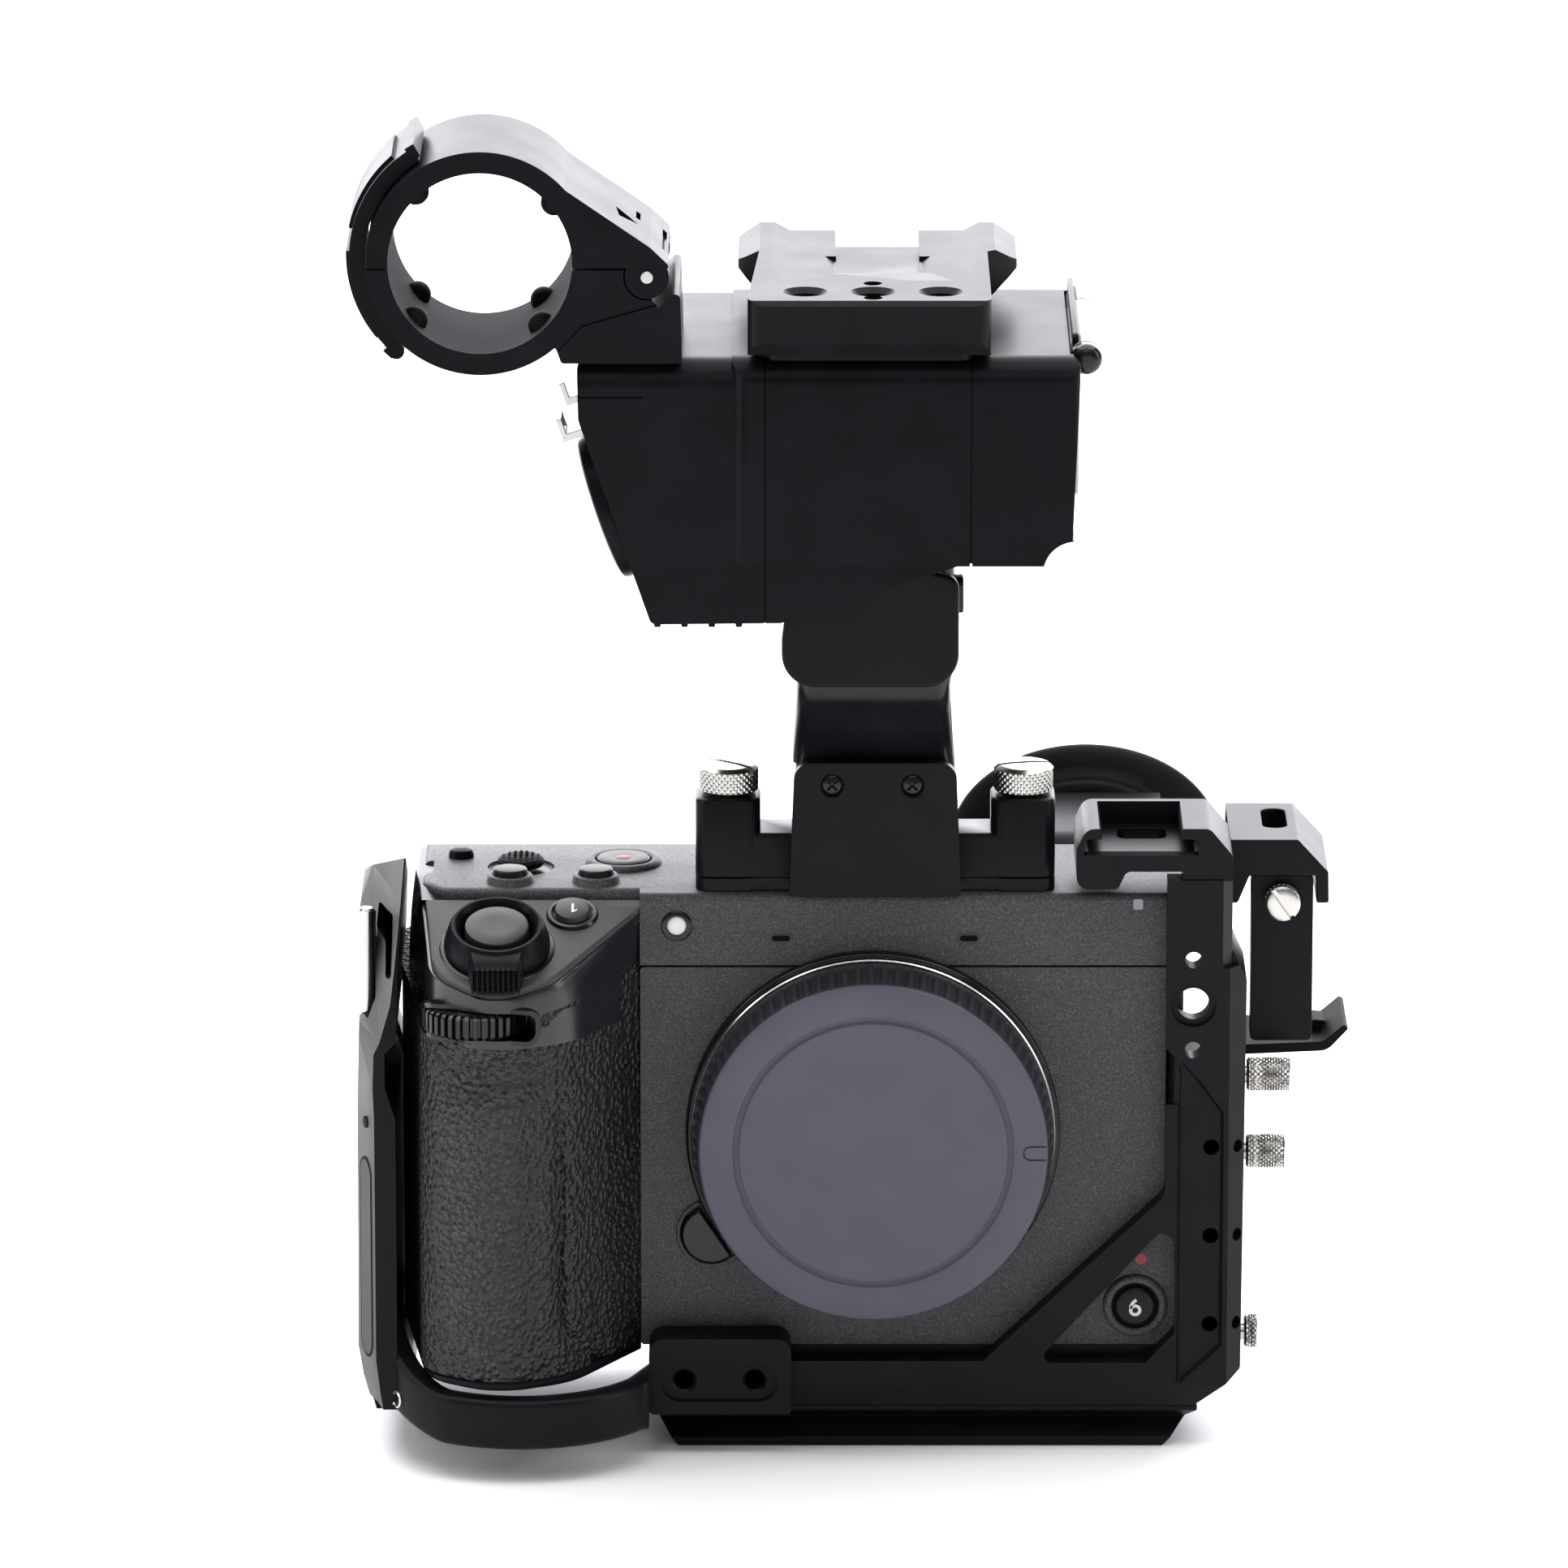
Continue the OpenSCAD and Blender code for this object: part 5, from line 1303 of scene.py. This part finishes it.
def make_port_door():
    """Rubber door over the ports, standing open: a thin flap that curls up, with its small latch."""
    lo, hi = span("port_door")
    flap = [(lo.x, lo.z + 0.4, 0), (lo.x + 9, lo.z, 4), (hi.x - 3.6, lo.z + 0.7, 3),
            (hi.x, lo.z + 4.6, 0.4), (hi.x - 0.9, lo.z + 5.2, 0.4), (hi.x - 4.3, lo.z + 2.3, 2.5),
            (lo.x + 9, lo.z + 1.7, 4), (lo.x, lo.z + 2.2, 0)]
    door = along_y("port_flap", outline(flap, 8), lo.y, hi.y)
    middle_y = (lo.y + hi.y) / 2
    hook = [(hi.x - 7, lo.z + 1.4, 0), (hi.x - 4.6, lo.z + 2.0, 0), (hi.x - 3.4, lo.z + 4.2, 0.4),
            (hi.x - 5.8, lo.z + 4.4, 0.4)]
    fused(door, along_y("hook", outline(hook, 4), middle_y - 3, middle_y + 3))
    stand_in(bevelled(door, 0.3, 3, 35), "port_door", "rubber")


def make_neck():
    """Neck that sweeps forward from the foot to the audio module, with its cover plate and lock button."""
    rows = ((117, -24.4, 8, -13.3, 13.4), (118.4, -24.6, 7.9, -13.3, 13.3),
            (121, -26.4, 7.6, -13.2, 13.1), (124, -29.6, 7.2, -13.1, 12.9), (128, -34.8, 6, -12.9, 12.7),
            (131.5, -39.2, 3.4, -12.7, 12.5), (134.5, -41.2, 0, -12.6, 12.4),
            (138, -41.5, -3.4, -12.9, 13), (142, -41.5, -6, -13, 13), (147.3, -41.5, -6, -13, 13),
            (154.2, -41.5, -6, 3, 13))
    rings = [level(rounded_box(x0, y0, x1, y1, 2.6, 8), z) for z, y0, y1, x0, x1 in rows]
    neck = smoothed(loft("neck_casting", rings), 40)
    stand_in(neck, "handle_neck", "cage_metal", "gloss_metal")
    plate = outline([(-15.1, 135.1, 5.5), (13.7, 135.1, 5.5), (13.7, 153.4, 2.6), (8, 154.8, 0),
                     (-14.6, 147.3, 0), (-15.1, 143, 0)], 10)
    show(bevelled(along_y("neck_plate", plate, -44, -41.4), 0.7, 4, 40), "handle_neck", "cage_metal")
    key = along_x("neck_key", rounded_box(-40.6, 146.6, -36.4, 152.6, 1.2), 12.8, 14.5)
    show(bevelled(key, 0.35, 3, 40), "handle_neck", "cage_metal", "gloss_metal")


def make_grip_bar():
    """Hand grip behind the audio module: it swells towards its end and is ribbed underneath."""
    rows = ((5, 158, 186, 13.6), (12, 158, 185.6, 13.4), (22, 158.2, 183.6, 12.8), (36, 158, 181.4, 12.6),
            (52, 156.4, 180, 13), (66, 154, 179.2, 13.8), (76, 152.6, 178.6, 14.4),
            (83, 153.4, 177.6, 14.4), (86.6, 156, 175, 13), (88, 160.5, 171, 9))
    rings = []
    for y, z0, z1, half in rows:
        section = rounded_box(-half, z0, half, z1, min(9.5, (z1 - z0) / 2 - 0.2), 12)
        rings.append([(x, y, z) for x, z in section])
    bar = loft("hand_grip", rings)
    rib_cuts = []
    for y in range(30, 60, 5):
        rib = [(y - 0.7, 140), (y - 0.45, 159.5), (y + 0.45, 159.5), (y + 0.7, 140)]
        rib_cuts.append(along_x("rib", rib, -7, 7))
    cut(bar, *rib_cuts)
    stand_in(smoothed(bar, 38), "grip_bar", "black_plastic")
    pads = [along_x("pad", outline([(26, 166.5, 4), (70, 164, 5), (72, 174, 5), (26, 177, 4)], 8), x0, x1)
            for x0, x1 in ((-13.7, -12.2), (12.2, 13.7))]
    show(bevelled(joined("grip_pads", pads), 0.5, 3, 40), "grip_bar", "rubber")


# ---- cage ----

def make_cage():
    """Milled frame with its beam, diagonal strut and side column, and the shoe block on top."""
    front = -28.6
    shape = [(-17.5, 7.3, 0), (53.6, 7.3, 0), (61.2, 13.6, 0.8), (61.7, 80.6, 0.8), (59.2, 86.2, 0.8),
             (59.2, 98.4, 0), (48.4, 98.4, 0), (48.4, 44.3, 3.5), (18.4, 15.6, 1.5), (-17.5, 15.6, 0)]
    plate = along_y("cage_frame", outline(shape, 8), front, -9)
    plan = [(-20, front), (58.8, front), (61.9, -25.3), (61.9, -9), (-20, -9)]
    side = [(front, 11.4), (front, 110), (-8, 110), (-8, 7), (-26.4, 7)]
    upper_edge = along_z("upper_edge", [(56.9, front - 1), (59.3, -26.1), (64, -26.1), (64, front - 1)],
                         83.4, 100)
    common(plate, along_z("plan", plan, 0, 120), along_x("side", side, -30, 70))
    inside = along_z("inside", [(-30, -24.2), (51.6, -24.2), (51.6, 0), (-30, 0)], 0, 120)
    window = outline([(27.0, 15.3, 1.2), (45.3, 15.3, 1), (50.2, 20.4, 1.2), (50.2, 36.4, 1.6),
                      (47.7, 38.2, 1.6)], 8)
    recess = outline([(50.9, 12.2, 0.3), (57.5, 18.6, 0.3), (57.5, 58.4, 1.5), (54.0, 63.2, 6),
                      (50.9, 67.0, 0.3)], 8)
    wide = outline([(50.4, 11.0, 0.3), (58.0, 18.2, 0.3), (58.0, 58.6, 1.5), (54.4, 63.7, 6),
                    (50.4, 68.2, 0.3)], 8)
    cutters = [upper_edge, inside, along_y("window", window, -40, -20),
               loft("recess", [[(x, y, z) for x, z in ring]
                               for ring, y in ((wide, -29.5), (wide, front), (recess, front + 0.9))])]
    thread = (52.8, -30, 77.1)
    cutters += [rod("thread", thread, BACK, 2.65, 8, 64), rod("counterbore", thread, BACK, 3.75, 2.4, 64)]
    cutters += [rod("pin", (52.8, -30, z), BACK, 1.4, 8) for z in (84.8, 69.4)]
    cutters += [rod("small", (56, -30, z), BACK, 1.35, 8) for z in (52.4, 37.1, 21.8)]
    cutters += [rod("knob_hole", (57, -17, z), ASIDE, 1.6, 8) for z in (61.9, 48.6, 17.2)]
    cutters += [rod("edge_hole", (59.6, -26.2, z), (0.75, -0.66, 0), 1.1, 6) for z in (52.4, 37.1, 21.8)]
    passage = along_z("passage", [(47, -24.2), (56.4, -24.2), (56.4, -8), (47, -8)], 66, 88)
    cut(plate, *cutters, passage)
    rise = outline([(50.9, 67.0, 0), (48.4, 69.6, 0), (48.4, 60, 0), (50.9, 60, 0)], 1)
    cut(plate, along_y("low_edge", rise, -40, front + 0.4))
    bevelled(plate, 0.35, 3, 24)
    show(plate, "cage_side", "cage_metal", replaces=["cage_side", "cage_strut"])
    shoe = outline([(33.4, 96.8, 2), (40.2, 96.8, 1), (41.6, 99.8, 1.2), (51, 99.8, 0), (51, 98.2, 0),
                    (59.2, 98.2, 0), (59.2, 102.4, 2.5), (55.3, 107.1, 1.6), (35.0, 107.1, 2.2),
                    (33.4, 103.6, 2)], 8)
    block = along_y("shoe_block", shoe, -28.2, -9)
    x = 44
    slot = along_y("slot", rounded_box(x - 9.4, 103.1, x + 9.4, 105.3, 0.9, 5), -30, -10.6)
    mouth = outline([(x - 6.5, 103.2, 0), (x + 6.5, 103.2, 0), (x + 6.5, 106.3, 0), (x + 7.3, 108, 0),
                     (x - 7.3, 108, 0), (x - 6.5, 106.3, 0)], 4)
    pocket = along_z("pocket", rounded_box(40.3, -19.5, 48.4, -13, 1.6, 6), 96, 104)
    chamfer = along_x("chamfer", [(-30, 103.4), (-27.4, 103.1), (-29, 101.9)], x - 9.4, x + 9.4)
    cut(block, slot, along_y("mouth", mouth, -30, -10.6), pocket, chamfer)
    bevelled(block, 0.5, 3, 28)
    stand_in(block, "cage_shoe", "cage_metal")


def make_cage_base():
    """Base of the cage: flat body rest, and the front block with its pill recess and two threads."""
    lo, hi = span("cage_base")
    rest = along_z("cage_base_metal", rounded_box(lo.x, -24.3, 51.8, hi.y, 3, 8), lo.z, 17.0)
    block = outline([(lo.x, lo.z, 0.8), (-13.5, lo.z, 0.8), (-13.5, 20.3, 2.6), (lo.x, 20.3, 2.6)], 8)
    fused(rest, along_y("block", block, lo.y, -23))
    pill = along_y("pill", rounded_box(-35.1, 9.4, -15.8, 16.2, 3.3, 10), lo.y - 1, lo.y + 0.9)
    profile = [(0, 0), (2.1, 0), (2.1, 1.0), (1.65, 1.45), (1.65, 8), (0, 8)]
    holes = [lathe("hole", profile, (x, lo.y, 12.8), BACK, 48) for x in (-31.3, -19.6)]
    wells = [along_z("well", rounded_box(-14, y0, 32, y1, 2, 5), 6, 18) for y0, y1 in ((-18, -8), (6, 16))]
    cut(rest, pill, *holes, *wells)
    stand_in(bevelled(rest, 0.45, 3, 28), "cage_base", "cage_metal")


# ---- guard beside the grip ----

def guard_ring(y_edge, y_front, x_front, z, x_left, x_right):
    """Plan of the guard at one height: outer chamfer from y_edge to the front facet."""
    return [(x_left, 20, z), (x_left, y_edge, z), (x_front, y_front, z), (x_right, y_front, z),
            (x_right, 20, z)]


def make_guard():
    """Side guard that leans in at the top, with its inlay and strap notch, and the band round the grip."""
    rows = ((6, -27.5, -36, -80.6, -82.6, -76.8), (13, -27.5, -36, -81.6, -84.6, -76.8),
            (18, -27.5, -36, -82.2, -85.4, -78.7), (59.6, -27.5, -36, -82.2, -85.2, -78.7),
            (65, -27.0, -36, -82.4, -85.1, -80.4), (70.7, -25.0, -36, -82.2, -85.0, -80.4),
            (72.8, -23.0, -36, -81.2, -85.0, -78.6), (79, -16.0, -35.4, -79.4, -84.6, -78.3),
            (86, -12.0, -34.2, -78.6, -85.4, -78.1), (90, -11.5, -33.6, -78.2, -85.0, -77.8),
            (96, -9.0, -32.8, -77.6, -82.9, -77.3), (104.4, -6.0, -32.0, -76.9, -79.5, -76.6))
    guard = loft("guard_metal", [guard_ring(a, b, c, z, d, e) for z, a, b, c, d, e in rows])
    top = [(-40, 105.4), (-32, 103.2), (-9, 95.8), (25, 84.9), (25, 110), (-40, 110)]
    notch = [(-81.6, 92.6, 0.8), (-79.0, 92.9, 0.3), (-79.3, 83.0, 0.3), (-80.3, 82.2, 0.3),
             (-80.3, 88.0, 0.8), (-82.0, 88.6, 0.6)]
    # The solver empties the mesh if these cuts come in another order
    cutters = [along_x("strap", rounded_box(4, 22, 12, 66, 3, 6), -90, -70),
               along_x("top_slot", rounded_box(-6, 80, 10, 83.5, 1.5, 5), -90, -79.5),
               along_x("top", top, -90, -70),
               along_z("corner", [(-90, -40), (-70, -40), (-70, -24.5), (-90, -24.5)], 0, 9.5),
               along_z("pin_gap", [(-88, -26.7), (-82.1, -26.7), (-82.1, -17.6), (-88, -17.6)], 74.3, 90.7),
               along_y("notch", outline(notch, 5), -45, -12)]
    cut(guard, *cutters)
    fused(guard, along_z("arm", rounded_box(-77.4, 12, -37.1, 19.8, 1), 7.2, 13))
    bevelled(guard, 0.5, 3, 22)
    stand_in(guard, "guard_upright", "cage_metal")
    normal = Vector((-0.936, -0.352, 0))
    along = Vector((0.352, -0.936, 0))
    centre = Vector((-83.75, -31.75, 0))
    line = [centre + along * y + Vector((0, 0, z)) for y, z in rounded_box(-3.1, 17.5, 3.1, 52, 3.05, 10)]
    rim = [centre + along * y + Vector((0, 0, z)) for y, z in rounded_box(-2.6, 18.0, 2.6, 51.5, 2.55, 10)]
    rings = [[p + normal * out for p in points]
             for points, out in ((line, -1), (line, 0.06), (rim, 0.06), (rim, -1))]
    # Near-black band in the groove round the inlay: painted shade in the groove
    groove = loft("guard_inlay_gap_shade", rings, True)
    show(smoothed(groove, 40), "guard_upright", "rubber", "dark")
    plug = loft("guard_inlay", [[p - normal * 0.5 for p in rim], [p + normal * 0.15 for p in rim]])
    show(bevelled(plug, 0.12, 2, 40), "guard_upright", "cage_metal")
    # Near-black disc standing for a hole in the guard: painted shade
    hole = [(0, 0), (1.0, 0), (1.0, 0.25), (0, 0.25)]
    place = centre + Vector((0, 0, 58)) - normal * 0.12
    show(turned("guard_hole_shade", hole, place, normal, 32), "guard_upright", "rubber", "dark")
    at = Vector((-58.2, -22.5))
    rings = []
    for i in range(49):
        angle = 197 + 129 * i / 48
        t = math.radians(angle)
        near_left = max(0.0, (238 - angle) / 41)
        top = 14.6 + 9.0 * near_left ** 1.6
        low = 6 + 5.5 * near_left ** 1.2
        outer, inner = 25 - 0.3 * near_left, 21 - 0.3 * near_left
        corners = outline([(inner, low, 0.8), (outer, low, 1.2), (outer, top, 1.2), (inner, top, 0.8)], 4)
        rings.append([(at.x + r * math.cos(t), at.y + r * math.sin(t), z) for r, z in corners])
    end = outline([(-26, 6, 0.8), (-36.4, 6, 1.2), (-36.4, 14.6, 1.2), (-26, 14.6, 0.8)], 4)
    rings.append([(-37.1, y, z) for y, z in end])
    band = smoothed(loft("guard_band_metal", rings), 45)
    stand_in(band, "guard_band", "cage_metal")
    eye = [(0.9, -0.3), (1.5, -0.3), (1.5, 0.35), (1.2, 0.5), (0.9, 0.35), (0.9, -0.3)]
    t = math.radians(214)
    place = (at.x + 24.7 * math.cos(t), at.y + 24.7 * math.sin(t), 11.5)
    eyelet = lathe("strap_eyelet", eye, place, (math.cos(t), math.sin(t), 0), 40)
    show(smoothed(eyelet, 50), "guard_band", "nickel")
    lo, hi = span("strap_pin")
    pin = [(0, lo.z), (1.0, lo.z), (1.3, lo.z + 0.4), (1.3, hi.z - 0.4), (1.0, hi.z), (0, hi.z)]
    stand_in(turned("strap_rod", pin, (-83.6, -22, 0), UP, 40), "strap_pin", "nickel")


# ---- viewfinder, screen and rear controls ----

def make_eyecup():
    """Oval rubber eyecup that flares out in steps, with the eyepiece glass inside."""
    lo, hi = span("evf_eyecup")
    x, z = (lo.x + hi.x) / 2, (lo.z + hi.z) / 2
    profile = [(14, 10.2, 46), (15.4, 11.4, 46.2), (15.9, 11.9, 47), (15.9, 11.9, 47.8),
               (16.9, 12.7, 48.2), (17.1, 12.9, 48.9), (19, 14.2, 49.4), (21.4, 15.9, 50.2),
               (22.7, 16.8, 51.2), (23, 17, 52.1), (22.8, 16.8, 52.7), (22.2, 16.3, 53),
               (21.2, 15.4, 52.7), (19, 13.7, 51.4), (17.5, 12.6, 50.7), (16.3, 11.6, 50.5),
               (14, 10, 49.8), (12.6, 9, 48.6), (12.1, 8.6, 47.6)]
    steps = [2 * math.pi * i / 120 for i in range(120)]
    rings = [[(x + a * math.cos(t), y, z + b * math.sin(t)) for t in steps] for a, b, y in profile]
    stand_in(smoothed(loft("eyecup_rubber", rings), 55), "evf_eyecup", "rubber")
    glass = [[(x + a * math.cos(t), y, z + b * math.sin(t)) for t in steps] for a, b, y in
             ((11.6, 8.2, 47.2), (11.6, 8.2, 47.7), (11.2, 7.8, 47.95), (7, 5, 48.5), (2, 1.4, 48.7))]
    show(smoothed(loft("eyepiece_glass", glass), 50), "evf_eyecup", "gloss_black", "glass")


def make_screen():
    """Screen glass on the panel's outer face, with the picture area on it. The hinge bar stays clear."""
    lo, hi = span("lcd_panel")
    right = 46.4
    glass = rounded_box(lo.x + 2.2, lo.z + 2.2, right - 2.2, hi.z - 2.2, 1.6)
    glass = along_y("screen_glass", glass, hi.y - 0.3, hi.y + 0.12)
    show(bevelled(glass, 0.12, 2, 40), "lcd_panel", "gloss_black", "glass")
    picture = rounded_box(lo.x + 6, lo.z + 4.4, right - 6, hi.z - 4.4, 0.3)
    show(along_y("screen_area", picture, hi.y, hi.y + 0.16), "lcd_panel", "gloss_black", "display")


def make_rear():
    """Ribbed rear wheel with its centre key, menu buttons and the thumb pad."""
    lo, hi = span("rear_wheel")
    x, z = (lo.x + hi.x) / 2, (lo.z + hi.z) / 2
    r = (hi.x - lo.x) / 2
    profile = [(0, 21.5), (3.1, 21.5), (3.1, 24.3), (r - 0.6, 24.3), (r, 24.8), (r, 26.0),
               (r - 0.5, 26.5), (r - 2.6, 26.6), (r - 3.4, 26.2), (6.4, 26.2), (6.1, 25.9), (5.8, 26.2),
               (5.0, 26.5), (0, 26.6)]

    def ribbed(radius, h, i):
        return radius - (0.35 if radius > r - 0.55 and i % 6 < 2 else 0)

    wheel = lathe("wheel_disc", profile, (x, 0, z), BACK, 360, ribbed)
    stand_in(smoothed(wheel, 32), "rear_wheel", "black_plastic", "gloss_black")
    keys = []
    for kx, kz, kr in ((-69, 66, 2.6), (-57, 68, 2.6), (-45, 66, 2.6), (-69, 28, 2.6), (-46.5, 28, 2.6),
                       (-32.5, 70, 2.4), (-30.5, 76, 2.4)):
        key = [(0, 23.6), (kr + 0.7, 23.6), (kr + 0.6, 24.1), (kr + 0.2, 24.2), (kr + 0.1, 23.95)]
        key += [(kr, 24.1), (kr - 0.2, 24.8), (kr - 0.8, 25.0), (0, 24.95)]
        keys.append(lathe("key", key, (kx, 0, kz), BACK, 48))
    show(smoothed(joined("rear_keys", keys), 40), "rear_cover", "black_plastic", "gloss_black")
    rest = outline([(-75, 72, 4), (-61, 72.5, 4), (-59, 81, 4), (-61, 88.6, 3), (-73, 88.6, 4)], 10)
    pad = along_y("thumb_pad", rest, 23.8, 25.3)
    show(bevelled(pad, 1.1, 5, 40), "rear_cover", "leather")


# ---- CAD nodes that keep their shape ----

WIDTHS = {"cage_metal": 0.35, "body_paint": 0.35, "black_plastic": 0.3, "gloss_black": 0.5, "rubber": 0.6,
          "nickel": 0.15, "clear_plastic": 0.3}


def dress_rest():
    """Gives every CAD node that is still shown its finish and rounded edges."""
    for part in frame["record"]["subparts"]:
        node = part["node"]
        obj = frame["nodes"][node]
        if obj.hide_render:
            continue
        slot = part["material_slot"]
        obj.data.materials.clear()
        obj.data.materials.append(MATERIALS[slot])
        bevelled(obj, WIDTHS.get(slot, 0.2))


make_camera()
make_stage()
make_body_cap()
make_lens_mount()
make_screws()
make_grip_skin()
make_grip_shoulder()
make_dial_bezel()
make_grip_panel()
make_shutter()
make_panel_button()
make_dial()
make_top_buttons()
make_front_buttons()
make_housing()
make_side_module()
make_jacks()
make_audio_cover()
make_levels()
make_top_plate()
make_clamp()
make_clamp_pads()
make_latch()
make_foot()
make_foot_cover()
make_finder_pocket()
make_port_door()
make_neck()
make_grip_bar()
make_cage()
make_cage_base()
make_guard()
make_eyecup()
make_screen()
make_rear()
dress_rest()
